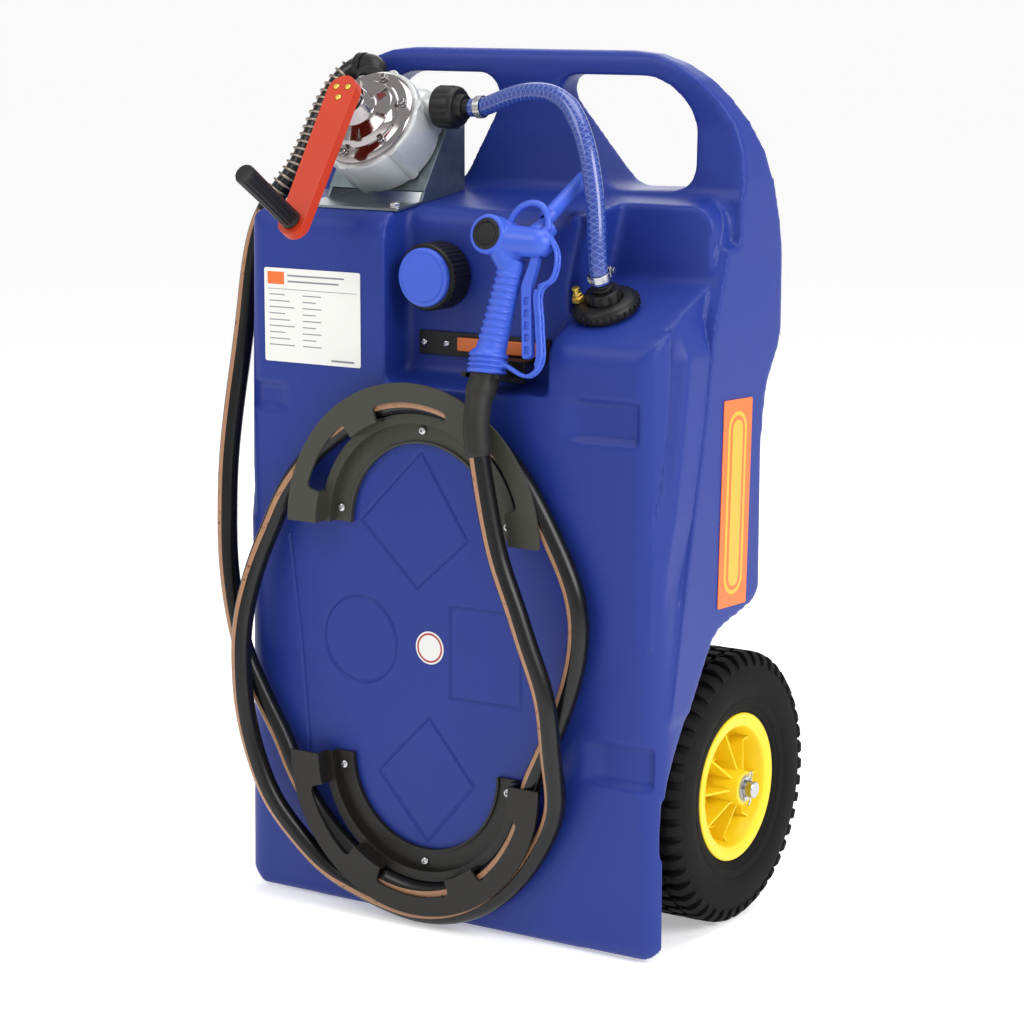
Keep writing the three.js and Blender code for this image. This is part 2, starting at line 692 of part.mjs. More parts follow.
// Galvanised bracket: base plate on the tank, sloping plate behind the pump and two side gussets.
function pumpBracket() {
  const topAt = (y) => tank.topFront - 1 + (y - tank.front) * topSlope + gap;
  const slopePlace = (up, along) => [
    pump.y + up * Math.sin(pump.tilt) - along * Math.cos(pump.tilt),
    pump.z + up * Math.cos(pump.tilt) + along * Math.sin(pump.tilt),
  ];
  const backFace = -pump.casingDepth - gap;
  const [x0, x1] = [pump.x - 70, pump.x + 70];
  const base = [[-138, topAt(-138)], [4, topAt(4)], [4, topAt(4) + 3], [-138, topAt(-138) + 3]];
  const plate = [slopePlace(-60, backFace), slopePlace(-60, backFace - 4), slopePlace(46, backFace - 4),
    slopePlace(46, backFace)];
  const gusset = [[-90, topAt(-90) + 1], [4, topAt(4) + 1], [4, 950], slopePlace(32, backFace - 3.5),
    slopePlace(-60, backFace - 1)];
  const side = (x) => solid(alongX(shapeOf(gusset), x, x + 4));
  return join(
    solid(alongX(shapeOf(base), x0, x1)),
    solid(alongX(shapeOf(plate.reverse()), x0, x1)),
    side(x0),
    side(x1 - 4)
  );
}
add("pump_bracket", pumpBracket(), "zinc");

// ---------------------------------------------------------------- delivery hose

// Route of the hose: down the left side, through the lower bracket and up the right side, over the
// upper bracket, down the left side again, under the lower bracket and up the front to the nozzle.
const rest = tank.front - 4 - hose.radius; // lying in a bracket's saddle
const inner = bracket.saddleRadius + 1.6 + hose.radius;
const outer = inner + 2 * hose.radius + 1;
const around = (middleZ, degrees, reach, y = rest) => {
  const angle = THREE.MathUtils.degToRad(degrees);
  return [bracket.x + reach * Math.cos(angle), y, middleZ + reach * Math.sin(angle)];
};
const lower = (degrees, reach, y) => around(bracket.lowerZ, degrees, reach, y);
const upper = (degrees, reach, y) => around(bracket.upperZ, degrees, reach, y);

const deliveryPoints = [
  [-214, -23.2, 1015.7], [-219, -23.4, 1015.5], [-231, -30, 1004], [-241, -42, 981], [-249, -56, 953],
  [-258, -70, 917], [-271, -83, 884], [-290, -92, 861], [-306, -98, 834], [-314, -105, 798], [-316.5, -112, 760],
  [-314, -125, 710], [-313, -138, 660], [-315, -150, 600], [-316, -160, 540], [-314, -167, 480],
  [-310, -172, 420], [-300, -175, 360], [-284, rest, 305], [-261, rest, 262], [-243, rest, 232],
  [-225.5, rest, 205], lower(190, 186), lower(211, 167), lower(235, inner + 1.5), lower(255, inner), lower(270, inner),
  lower(285, inner), lower(300, inner), lower(315, inner), lower(330, inner), lower(345, inner + 1.5),
  lower(0, 158), [145, rest, 215], [157, rest, 240], [170, rest, 270], [184, rest, 305], [196, rest, 345],
  [200.5, rest, 372], [201, rest, 400], [195.5, rest, 430], [175.5, rest, 474], upper(29, 164), upper(45, inner + 2),
  upper(60, inner), upper(75, inner), upper(90, inner), upper(105, inner), upper(120, inner), upper(135, 158),
  upper(150, 170), upper(169, 192.5, -178.5), [-233, -182, 471], [-251, -188, 427], [-264, -197, 372],
  [-268, -202, 330], [-267, -204, 290], [-264, -204, 248], [-254, -201, 196], [-229.5, -196, 132.6],
  [-198, -188, 90], lower(228, 198, -179), lower(243, 186), lower(257, outer), lower(270, outer), lower(285, outer),
  lower(300, outer), lower(315, outer), lower(330, outer + 2.5), lower(345, 190), lower(355, 196.5, -181.5),
  [178, -192.5, 214], [179.5, -203, 250], [176.5, -208, 305], [168, -210, 336], [157, -212, 364], [138, -213, 415],
  [117.5, -214, 465], [106, -214.5, 508], [97.4, -214.5, 548], [89.8, -214.5, 588],
  // from here on inside the nozzle's bend sleeve
  [86.5, -213.5, 606], [84.5, -211.5, 622], [82.5, -206, 640], [80.5, -198.5, 655], [80.5, -191, 668],
  [82, -187, 678], [82.2, -184.4, 688],
];
const deliveryCurve = curveThrough(deliveryPoints);
const lastPoint = deliveryPoints.length - 1;
const springPoints = 7; // steps of the route inside the bend spring at the pump
const sleevePoints = 7; // steps of the route inside the bend sleeve at the nozzle
const hoseStart = springPoints / lastPoint;
const hoseEnd = (lastPoint - sleevePoints) / lastPoint;
const joint = 0.0002; // gap between the stretches, as a share of the route
const hoseSteps = lastPoint - springPoints - sleevePoints;
const hoseRun = { radius: hose.radius, sides: 8, steps: hoseSteps, from: hoseStart + joint, to: hoseEnd };
const springRun = { radius: 15.5, steps: springPoints, to: hoseStart };
const sleeveRun = { radius: 15.5, steps: sleevePoints, from: hoseEnd + joint };
add("delivery_hose", tube(deliveryCurve, hoseRun), "hose");
add("spring_guard", tube(deliveryCurve, springRun), "steel");
add("hose_sleeve", tube(deliveryCurve, sleeveRun), "rubber");

// ---------------------------------------------------------------- nozzle and its holder

const nozzle = { x: 82, y: -186.5, z: 678, lean: THREE.MathUtils.degToRad(12.5), collarRadius: 23 };
const nozzleGroup = new THREE.Group(); // origin in the middle of the collar's lower face
nozzleGroup.position.set(nozzle.x, nozzle.y, nozzle.z);
nozzleGroup.rotation.x = -nozzle.lean; // local +Z points up the grip
caddy.add(nozzleGroup);

const valve = [-10, 0, 158];
const spout = { from: [44, -4, 165], along: [17.5, 65.8, 73] };

function nozzleBody() {
  const bar = (from, to, radius, upperRadius = radius) => {
    const run = to.map((value, axis) => value - from[axis]);
    const length = Math.hypot(...run);
    const rod = turned([[0, 0], [radius, 0], [upperRadius, length], [0, length]], radius < 6 ? 8 : 16);
    return solid(aim(rod, run, from));
  };
  const guardPath = [[56, 172], [76, 142], [75, 115], [60, 99], [72, 12], [57, 0], [20, 13]];
  const guardBars = guardPath.slice(1).map(([x, z], number) => {
    const [x0, z0] = guardPath[number];
    return bar([x0, 0, z0], [x, 0, z], 5.5);
  });
  const radius = nozzle.collarRadius;
  const whole = join(
    solid(turned([[0, 0], [radius - 2, 0], [radius, 4], [radius, 18], [18, 26], [0, 26]])),
    bar([1, 0, 18], [18, 0, 132], 18, 15),
    bar([17, 0, 124], [-8, 0, 158], 16, 18),
    solid(aim(cylinder(23, -20, 20, 24), frontward, valve)),
    bar([-4, 0, 155], [52, 0, 158], 19, 15),
    bar([40, 0, 155], [49, 18, 175], 15, 13),
    solid(aim(ring(13, 18.5, -4.5, 4.5, 16), frontward, [40, 0, 182])),
    ...guardBars
  );
  return cut(
    whole,
    solid(cylinder(16.4, -20, 12, 16)),
    solid(aim(cylinder(18.3, 16, 40), frontward, valve)),
    solid(aim(cylinder(9.3, 22, 80, 16), spout.along, spout.from)),
    solid(box(31, 58, -5, 5, 15, 149))
  );
}
add("nozzle_body", nozzleBody(), "lightBlue", nozzleGroup);

const capProfile = [[0, 16.3], [18, 16.3], [18, 20], [16, 21.5], [0, 21.5]];
add("nozzle_valve_cap", aim(turned(capProfile), frontward, valve), "black", nozzleGroup);
add("nozzle_spout", aim(ring(6.5, 9, 22.4, 100, 16), spout.along, spout.from), "lightBlue", nozzleGroup);

const leverOutline = [
  [46, 147, 3], [42, 128], [35, 102], [48, 18, 4], [60, 24, 4], [48, 102], [53, 128], [54, 147, 3],
];
add("nozzle_trigger", alongY(shapeOf(leverOutline), -4.3, 4.3), "lightBlue", nozzleGroup);

// Wall plate, an arm under the orange bar and a U-shaped cradle square to the nozzle's collar.
function nozzleHolder() {
  const face = filler.wallY - gap;
  const [x0, x1] = [nozzle.x - 26, nozzle.x + 26];
  const wall = box(-62, 122, face - 3.7, face, 684, 712);
  const arm = box(x0, x1, -148, face - 1, 684, 689);
  const riser = box(x0, x1, -148, -144, 665, 689);
  nozzleGroup.updateMatrix();
  const local = (geometry) => solid(geometry.applyMatrix4(nozzleGroup.matrix));
  const cradle = local(box(-26, 26, -14, 43, -6, -0.6));
  const slot = local(box(-19, 19, -60, 0, -30, 4));
  const seat = local(cylinder(19, -30, 4));
  return cut(join(...[wall, arm, riser].map(solid), cradle), slot, seat);
}
add("nozzle_holder", nozzleHolder(), "black");
add("holder_clip", box(-4, 116, filler.wallY - 10, filler.wallY - 4.3, 691, 707), "orange");

// ---------------------------------------------------------------- wheels and axle

const { middle, width, radius, rimRadius, seatRadius, axleRadius } = wheel;
const outward = { left: [-1, 0, 0], right: [1, 0, 0] };

const seat = seatRadius + 2; // bead seat
const bead = 36.2;
const tyreHalf = [
  [seat + 0.4, bead - gap], [91.5, bead - gap], [100, 42], [125, width / 2], [150, 44], [161, 36], [radius, 22],
];
const tyreInside = [[seat + 0.4, 28], [92, 28], [104, 36], [124, 40], [147, 37], [154, 20]];
const below = (corners) => corners.map(([r, z]) => [r, -z]);
const tyreProfile = [
  ...below(tyreHalf),
  ...[...tyreHalf].reverse(),
  ...tyreInside,
  ...below([...tyreInside].reverse()),
];

const rimProfile = [
  [13, -36], [21, -36], [21, -5], [68, -3], [71, -34], [83, -39], [rimRadius, -39], [rimRadius, -bead],
  [seat, -bead], [seat, bead], [rimRadius, bead], [rimRadius, 39], [83, 39], [71, 34], [68, 4], [21, 6],
  [21, 50], [13, 50],
];

[["left", -1], ["right", 1]].forEach(([hand, side]) => {
  const place = [side * middle, wheel.y, wheel.radius];
  const about = (geometry) => aim(geometry, outward[hand], place);
  add(`tyre_${hand}`, about(turned(tyreProfile, 28)), "rubber");
  add(`rim_${hand}`, about(turned(rimProfile, 28)), "yellow");
  add(`hub_bush_${hand}`, about(ring(axleRadius + gap, 12.7, -36, 50, 24)), "white");
  add(`axle_washer_${hand}`, about(ring(axleRadius + gap, 17, 50.4, 52.4, 24)), "steel");
  add(`split_pin_${hand}`, cylinder(1.9, -17, 17, 12).translate(side * (middle + 57), wheel.y, wheel.radius), "steel");
  const strap = join(
    solid(box(side * 150 - 18, side * 150 + 18, tank.rear + gap, tank.rear + 3.3, 134, 196)),
    solid(box(side * 150 - 10, side * 150 + 10, wheel.y + axleRadius + gap, tank.rear + 1, 156, 174))
  );
  add(`axle_strap_${hand}`, strap, "zinc");
});

const axleBar = solid(cylinder(axleRadius, -middle - 64, middle + 64, 32).rotateY(Math.PI / 2)
  .translate(0, wheel.y, wheel.radius));
const pinHole = (side) => solid(cylinder(2.2, -40, 40, 16).translate(side * (middle + 57), wheel.y, wheel.radius));
add("axle", cut(axleBar, pinHole(-1), pinHole(1)), "steel");

export default caddy;
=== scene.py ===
"""Looks of the wheeled fluid transfer caddy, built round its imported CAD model."""

import math
from contextlib import contextmanager

import bmesh
import bpy
import numpy as np
from mathutils import Matrix, Vector


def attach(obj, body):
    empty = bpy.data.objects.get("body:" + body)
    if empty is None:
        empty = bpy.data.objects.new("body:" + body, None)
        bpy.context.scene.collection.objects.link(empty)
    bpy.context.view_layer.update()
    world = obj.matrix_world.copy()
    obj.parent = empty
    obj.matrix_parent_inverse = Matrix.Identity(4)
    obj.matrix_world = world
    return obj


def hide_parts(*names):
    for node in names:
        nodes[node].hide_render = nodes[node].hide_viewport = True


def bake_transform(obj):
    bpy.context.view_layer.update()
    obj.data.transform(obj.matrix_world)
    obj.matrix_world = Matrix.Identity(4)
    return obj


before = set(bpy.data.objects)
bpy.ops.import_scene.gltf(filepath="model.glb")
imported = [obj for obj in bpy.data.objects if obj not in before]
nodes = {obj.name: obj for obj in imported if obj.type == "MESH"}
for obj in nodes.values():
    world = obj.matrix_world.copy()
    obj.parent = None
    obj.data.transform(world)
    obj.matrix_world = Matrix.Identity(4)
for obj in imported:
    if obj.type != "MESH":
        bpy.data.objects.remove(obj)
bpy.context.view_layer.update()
MM = 0.001

# ---- camera


def placed(name, data):
    """New object in the scene."""
    obj = bpy.data.objects.new(name, data)
    bpy.context.scene.collection.objects.link(obj)
    return obj


camera_data = bpy.data.cameras.new("camera")
camera_data.lens = 103.71
camera_data.sensor_width = 36
camera = placed("camera", camera_data)
camera.location = (1.92811, -2.97585, 1.13121)
camera.rotation_euler = (math.radians(90 - 10.4), 0, math.radians(33))
bpy.context.scene.camera = camera

# ---- shapes, in millimetres


def on_circle(radius, degrees):
    angle = math.radians(degrees)
    return radius * math.cos(angle), radius * math.sin(angle)


def walls(rings, count, closed=False):
    """Faces between each ring of count vertices and the next."""
    faces = []
    for i in range(rings if closed else rings - 1):
        near, far = i * count, (i + 1) % rings * count
        faces += [[near + k, near + (k + 1) % count, far + (k + 1) % count, far + k] for k in range(count)]
    return faces


def ends(rings, count):
    """The first and the last ring as faces."""
    last = (rings - 1) * count
    return [list(range(count - 1, -1, -1)), list(range(last, last + count))]


def turned(profile, segments=64, start=0.0, sweep=360.0):
    """Solid of revolution about +Z from a closed loop of (radius, z) corners."""
    full = sweep >= 360
    rings, count = segments if full else segments + 1, len(profile)
    verts = []
    for i in range(rings):
        across, up = on_circle(1, start + sweep * i / segments)
        verts += [(r * across, r * up, z) for r, z in profile]
    sides = [[a, d, c, b] for a, b, c, d in walls(rings, count, full)]
    return verts, sides if full else sides + ends(rings, count)


def frames_along(points, guide=None):
    """Normal and binormal at each point: carried along, or kept facing the guide directions."""
    points = np.asarray(points, float)
    tangents = np.gradient(points, axis=0)
    tangents /= np.linalg.norm(tangents, axis=1)[:, None]
    normal = np.array([0.0, 0.0, 1.0]) if abs(tangents[0][2]) < 0.9 else np.array([1.0, 0.0, 0.0])
    normals = []
    for i, tangent in enumerate(tangents):
        if guide is not None:
            normal = np.asarray(guide[i], float)
        normal = normal - tangent * normal.dot(tangent)
        normal = normal / np.linalg.norm(normal)
        normals.append(normal)
    normals = np.array(normals)
    return normals, np.cross(tangents, normals)


def swept(points, radius, sides=16, guide=None):
    """Round bar along points. radius is a number or one per point."""
    points = np.asarray(points, float)
    radii = np.broadcast_to(np.asarray(radius, float), (len(points),))
    normals, binormals = frames_along(points, guide)
    angles = 2 * math.pi * np.arange(sides) / sides
    across, up = np.cos(angles)[None, :, None], np.sin(angles)[None, :, None]
    spokes = across * normals[:, None] + up * binormals[:, None]
    verts = (points[:, None] + spokes * radii[:, None, None]).reshape(-1, 3)
    return [tuple(v) for v in verts], walls(len(points), sides) + ends(len(points), sides)


def rod(start, end, radius, end_radius=None, sides=24):
    return swept([start, end], [radius, radius if end_radius is None else end_radius], sides)


def prism(outline, z0, z1):
    verts = [(x, y, z) for z in (z0, z1) for x, y in outline]
    return verts, walls(2, len(outline)) + ends(2, len(outline))


def block(low, high):
    (x0, y0, z0), (x1, y1, z1) = low, high
    return prism([(x0, y0), (x1, y0), (x1, y1), (x0, y1)], z0, z1)


def disc(radius, z0, z1, segments=64):
    return turned([(0, z0), (radius, z0), (radius, z1), (0, z1)], segments)


def ball(centre, radius, sides=16):
    ring = [(0, -radius)]
    ring += [(radius * math.cos(a), radius * math.sin(a)) for a in np.linspace(-1.4, 1.4, sides // 2)]
    ring += [(0, radius)]
    verts, faces = turned(ring, sides)
    return [(x + centre[0], y + centre[1], z + centre[2]) for x, y, z in verts], faces


def rounded(corners, steps=6):
    """Outline from (x, y, radius) corners."""
    points = []
    for i, (x, y, *rest) in enumerate(corners):
        radius = rest[0] if rest else 0
        here = Vector((x, y))
        before = (Vector(corners[i - 1][:2]) - here).normalized()
        after = (Vector(corners[(i + 1) % len(corners)][:2]) - here).normalized()
        if radius == 0:
            points.append((x, y))
            continue
        half = before.angle(after) / 2
        centre = here + (before + after).normalized() * (radius / math.sin(half))
        a = here + before * (radius / math.tan(half)) - centre
        b = here + after * (radius / math.tan(half)) - centre
        turn = a.angle_signed(b)
        for k in range(steps + 1):
            angle = -turn * k / steps
            points.append((
                centre.x + a.x * math.cos(angle) - a.y * math.sin(angle),
                centre.y + a.x * math.sin(angle) + a.y * math.cos(angle),
            ))
    return points


def polygon(sides, radius):
    return [on_circle(radius, 360 / sides * i) for i in range(sides)]


def aim(direction, place=(0, 0, 0)):
    """Matrix that turns +Z to a direction and moves the origin to a place."""
    turn = Vector((0, 0, 1)).rotation_difference(Vector(direction)).to_matrix().to_4x4()
    return Matrix.Translation(place) @ turn


def spin(degrees, reach=0.0):
    """Matrix that turns about +Z after a step of reach along +X."""
    return Matrix.Rotation(math.radians(degrees), 4, "Z") @ Matrix.Translation((reach, 0, 0))


def catmull(points, count=10):
    """Points along the centripetal Catmull-Rom curve through the given ones."""
    p = [np.array(q, float) for q in points]
    p = [2 * p[0] - p[1]] + p + [2 * p[-1] - p[-2]]
    out = []
    for i in range(1, len(p) - 2):
        a, b, c, d = p[i - 1 : i + 3]
        t = [max(np.linalg.norm(v) ** 0.5, 1e-4) for v in (b - a, c - b, d - c)]
        m0 = ((b - a) / t[0] - (c - a) / (t[0] + t[1]) + (c - b) / t[1]) * t[1]
        m1 = ((c - b) / t[1] - (d - b) / (t[1] + t[2]) + (d - c) / t[2]) * t[1]
        for k in range(count):
            s = k / count
            out.append(
                b * (2 * s**3 - 3 * s**2 + 1) + m0 * (s**3 - 2 * s**2 + s)
                + c * (3 * s**2 - 2 * s**3) + m1 * (s**3 - s**2)
            )
    return np.array(out + [p[-2]])


def spaced(points, step):
    """The same line with points a fixed step apart."""
    lengths = np.concatenate([[0], np.cumsum(np.linalg.norm(np.diff(points, axis=0), axis=1))])
    at = np.linspace(0, lengths[-1], max(2, int(round(lengths[-1] / step)) + 1))
    return np.stack([np.interp(at, lengths, points[:, axis]) for axis in range(3)], axis=1)


def eased(points, times):
    """Smooths a line and leaves its ends in place."""
    points = points.copy()
    for _ in range(times):
        middle = (points[:-2] + points[2:]) / 2
        points[1:-1] += 0.5 * (middle - points[1:-1])
    return points


WELD = 1e-6  # vertices closer than this, in metres, become one


@contextmanager
def editing(obj):
    """The object's mesh as a BMesh that is written back at the end."""
    bm = bmesh.new()
    bm.from_mesh(obj.data)
    yield bm
    bm.to_mesh(obj.data)
    bm.free()


class Shell:
    """Shapes gathered into one mesh. A look is the number of a material slot."""

    def __init__(self):
        self.verts, self.faces, self.looks = [], [], []

    def add(self, shape, at=Matrix(), look=0):
        verts, faces = shape
        base = len(self.verts)
        self.verts += [tuple(at @ Vector(v)) for v in verts]
        self.faces += [[base + i for i in face] for face in faces]
        self.looks += [look] * len(faces)
        return self

    def piece(self, name, sharp=35, bevel=0.0, segments=2, weld=True):
        """The shapes as one object, in metres."""
        mesh = bpy.data.meshes.new(name)
        mesh.from_pydata((np.array(self.verts) * MM).tolist(), [], self.faces)
        mesh.polygons.foreach_set("material_index", self.looks)
        obj = placed(name, mesh)
        if weld:
            with editing(obj) as bm:
                bmesh.ops.remove_doubles(bm, verts=bm.verts, dist=WELD)
                bmesh.ops.recalc_face_normals(bm, faces=bm.faces)
        shade(obj, sharp)
        if bevel:
            add_bevel(obj, bevel, segments)
        return obj


def add_bevel(obj, width, segments=2, angle=35):
    modifier = obj.modifiers.new("bevel", "BEVEL")
    modifier.width = width * MM
    modifier.segments = segments
    modifier.limit_method = "ANGLE"
    modifier.angle_limit = math.radians(angle)
    modifier.harden_normals = True


def shade(obj, sharp=35):
    mesh = obj.data
    mesh.polygons.foreach_set("use_smooth", [True] * len(mesh.polygons))
    mesh.set_sharp_from_angle(angle=math.radians(sharp))
    mesh.update()


def finish_edges(obj, sharp, bevel, segments=2):
    """Shading and bevel of a carved piece."""
    shade(obj, sharp)
    add_bevel(obj, bevel, segments, 40)


def settle(obj):
    """Applies the object's modifiers."""
    dg = bpy.context.evaluated_depsgraph_get()
    mesh = bpy.data.meshes.new_from_object(obj.evaluated_get(dg))
    obj.modifiers.clear()
    obj.data = mesh
    return obj


def carve(obj, shell, operation="DIFFERENCE"):
    """Cuts the shell's shapes out of the object, or joins them on with UNION."""
    tool = shell.piece("tool")
    cut = obj.modifiers.new("cut", "BOOLEAN")
    cut.operation, cut.solver, cut.object = operation, "EXACT", tool
    settle(obj)
    bpy.data.objects.remove(tool)
    return obj


def moved(obj, at):
    """Moves a finished mesh by a matrix in millimetres."""
    obj.data.transform(Matrix.Scale(MM, 4) @ at @ Matrix.Scale(1 / MM, 4))
    obj.data.update()
    return obj


def fuse(obj, voxel, smoothing):
    """Melts overlapping shapes into one skin with soft edges."""
    remesh = obj.modifiers.new("fuse", "REMESH")
    remesh.mode, remesh.voxel_size = "VOXEL", voxel * MM
    obj.modifiers.new("soften", "SMOOTH").iterations = smoothing
    settle(obj)
    shade(obj, 180)
    return obj


# ---- materials


def linear(colour):
    """Linear colour from 0-255 sRGB."""
    shares = [c / 255 for c in colour]
    return tuple(c / 12.92 if c <= 0.04045 else ((c + 0.055) / 1.055) ** 2.4 for c in shares) + (1.0,)


def node(tree, kind, inputs, output=None, **settings):
    """Adds a shader node, sets or links its inputs, and gives the output asked for or the node itself."""
    made = tree.nodes.new("ShaderNode" + kind)
    for name, value in settings.items():
        setattr(made, name, value)
    feed(tree, made, inputs)
    return made.outputs[output] if output else made


def feed(tree, made, inputs):
    for key, value in inputs.items() if isinstance(inputs, dict) else enumerate(inputs):
        if isinstance(value, bpy.types.NodeSocket):
            tree.links.new(value, made.inputs[key])
        else:
            made.inputs[key].default_value = value


def blank_material(name):
    mat = bpy.data.materials.new(name)
    mat.use_nodes = True
    return mat, mat.node_tree, mat.node_tree.nodes["Principled BSDF"]


def material(name, colour, rough, metal=0.0, mottle=0.06, mottle_scale=18, grain=0.15, grain_scale=900,
             rough_spread=0.08, coat=0.0, wear=None, specular=0.5):
    """Procedural surface: large soft variation in colour and gloss, and a fine moulded or cast grain."""
    mat, tree, shader = blank_material(name)
    place = node(tree, "TexCoord", {}, "Object")
    cloud = node(tree, "TexNoise", {"Scale": mottle_scale, "Detail": 4, "Vector": place}, "Fac")
    dark, light = ([min(1, c * tone) for c in linear(colour)[:3]] + [1] for tone in (1 - mottle, 1 + mottle))
    tint = node(tree, "Mix", {"A": dark, "B": light, "Factor": cloud}, "Result", data_type="RGBA")
    if wear:
        scratches = node(tree, "TexNoise", {"Scale": 130, "Detail": 8, "Vector": place}, "Fac")
        spots = node(tree, "MapRange", {"From Min": 0.62, "From Max": 0.72, "Value": scratches}, "Result")
        tint = node(tree, "Mix", {"A": tint, "B": linear(wear), "Factor": spots}, "Result", data_type="RGBA")
    least, most = max(0.02, rough - rough_spread), min(1, rough + rough_spread)
    gloss = node(tree, "MapRange", {"To Min": least, "To Max": most, "Value": cloud}, "Result")
    feed(tree, shader, {"Metallic": metal, "Specular IOR Level": specular, "Base Color": tint, "Roughness": gloss})
    if coat:
        feed(tree, shader, {"Coat Weight": coat, "Coat Roughness": 0.12})
    if grain:
        fine = node(tree, "TexNoise", {"Scale": grain_scale, "Detail": 3, "Vector": place}, "Fac")
        bump = node(tree, "Bump", {"Strength": grain, "Distance": 0.0006, "Height": fine}, "Normal")
        feed(tree, shader, {"Normal": bump})
    return mat


looks = {
    "tank": material("tank_blue", (27, 48, 130), 0.44, mottle=0.06, mottle_scale=7, grain=0.35, grain_scale=420,
                     specular=0.32),
    "light_blue_plastic": material("light_blue", (58, 90, 198), 0.36, grain=0.15, mottle=0.04, specular=0.4),
    "black_plastic": material("black_plastic", (20, 20, 20), 0.4, mottle=0.15, grain=0.4, grain_scale=700,
                              specular=0.3),
    # Two tones of the same black plastic: the upper bracket's lighter colour is painted light, the lower bracket's
    # darker colour is painted shade.
    "bracket_upper": material("bracket_painted_light", (58, 58, 51), 0.5, mottle=0.14, grain=0.5, grain_scale=600,
                              specular=0.35),
    "bracket_lower": material("bracket_painted_shade", (27, 25, 22), 0.46, mottle=0.14, grain=0.5, grain_scale=600,
                              specular=0.35),
    "rubber": material("rubber", (34, 33, 31), 0.55, mottle=0.12, grain=0.4, grain_scale=500, specular=0.3),
    "tyre": material("tyre", (13, 13, 13), 0.82, mottle=0.25, mottle_scale=40, grain=0.6, grain_scale=380,
                     specular=0.18),
    "delivery_hose": material("hose_black", (14, 14, 14), 0.26, mottle=0.1, grain=0.1, specular=0.35),
    "hose_stripe": material("hose_stripe", (164, 122, 92), 0.36, mottle=0.16, mottle_scale=90, grain=0.2,
                            wear=(84, 48, 32), specular=0.3),
    "yellow_rim": material("rim_yellow", (236, 204, 28), 0.38, mottle=0.05, grain=0.15, specular=0.4),
    "red_plastic": material("crank_red", (186, 54, 26), 0.36, mottle=0.05, grain=0.25, specular=0.4),
    "dark_red": material("dark_red", (96, 14, 16), 0.35, grain=0.1),
    "orange_plastic": material("orange", (204, 104, 46), 0.5, mottle=0.05, grain=0.2),
    "chrome": material("chrome", (158, 152, 152), 0.1, metal=1, mottle=0.02, grain=0.05, rough_spread=0.03),
    "cast_aluminium": material("cast_aluminium", (196, 198, 198), 0.38, metal=0.5, mottle=0.06, grain=0.7,
                               grain_scale=520),
    "zinc": material("zinc", (128, 140, 144), 0.34, metal=0.9, mottle=0.22, mottle_scale=70, grain=0.2),
    "steel": material("steel", (186, 187, 188), 0.24, metal=1, mottle=0.05, grain=0.1),
    "spring_wire": material("spring_wire", (150, 138, 126), 0.3, metal=1, mottle=0.2, mottle_scale=200, grain=0.1),
    "brass": material("brass", (236, 198, 92), 0.28, metal=0.85, mottle=0.08, grain=0.1),
    "bush": material("bush_ivory", (206, 194, 140), 0.45, grain=0.1),
    "label": material("label_white", (228, 228, 224), 0.42, mottle=0.02, grain=0.05),
    "label_ink": material("label_ink", (128, 130, 136), 0.5, mottle=0.1, grain=0.05),
    "label_red": material("label_red", (168, 66, 66), 0.45, mottle=0.04, grain=0.05),
    "sticker": material("sticker_orange", (226, 108, 42), 0.4, mottle=0.04, grain=0.08),
    "sticker_light": material("sticker_light", (240, 168, 48), 0.4, mottle=0.04, grain=0.08),
}


def put(obj, body, slot, *surfaces, replaces=()):
    """Gives a piece its surfaces, or the slot's look when none are named, its body and the CAD nodes it stands
    for.
    """
    if len(obj.data.materials):
        obj.data.materials.clear()
    for surface in surfaces or (slot,):
        obj.data.materials.append(looks[surface])
    if body:
        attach(obj, body)
    if replaces:
        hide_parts(*([replaces] if isinstance(replaces, str) else replaces))
    return obj


def tilt_x(place, degrees):
    return Matrix.Translation(place) @ Matrix.Rotation(math.radians(degrees), 4, "X")


pump_frame = tilt_x((-145, -99, 957), 56)  # +Z along the shaft
suction_frame = tilt_x((185, -90, 746.7), 25)  # +Z square to the shelf
nozzle_frame = tilt_x((82, -186.5, 678), -12.5)  # +Z up the grip
filler_frame = tilt_x((-29, -110, 779), 90)  # +Z forward
FRONT = -160  # the tank's front face
BLOCK_HALF, BLOCK_TAPER = 302, 16 / 890  # half width of the tank's front block at the floor, loss per height
CORNER = 30  # the rounding of the front block's upright edges
FOOT_RADIUS = 32  # the rounding of the tank's lower corners
SCREW_ANGLES = (8, 90, 172)  # of each bracket's screws
SCREW_REACH = 120

# ---- delivery hose, spring and sleeve

HOSE = 12.5
BRACKET_X, UPPER_Z, LOWER_Z = -22, 481, 196
REST, INNER, OUTER = FRONT - 4 - HOSE, 155.1, 181.1


def around(middle_z, degrees, reach, y=REST):
    right, up = on_circle(reach, degrees)
    return (BRACKET_X + right, y, middle_z + up)


screw_places = [(UPPER_Z, angle) for angle in SCREW_ANGLES] + [(LOWER_Z, -angle) for angle in SCREW_ANGLES]


def lower(degrees, reach, y=REST):
    return around(LOWER_Z, degrees, reach, y)


def upper(degrees, reach, y=REST):
    return around(UPPER_Z, degrees, reach, y)


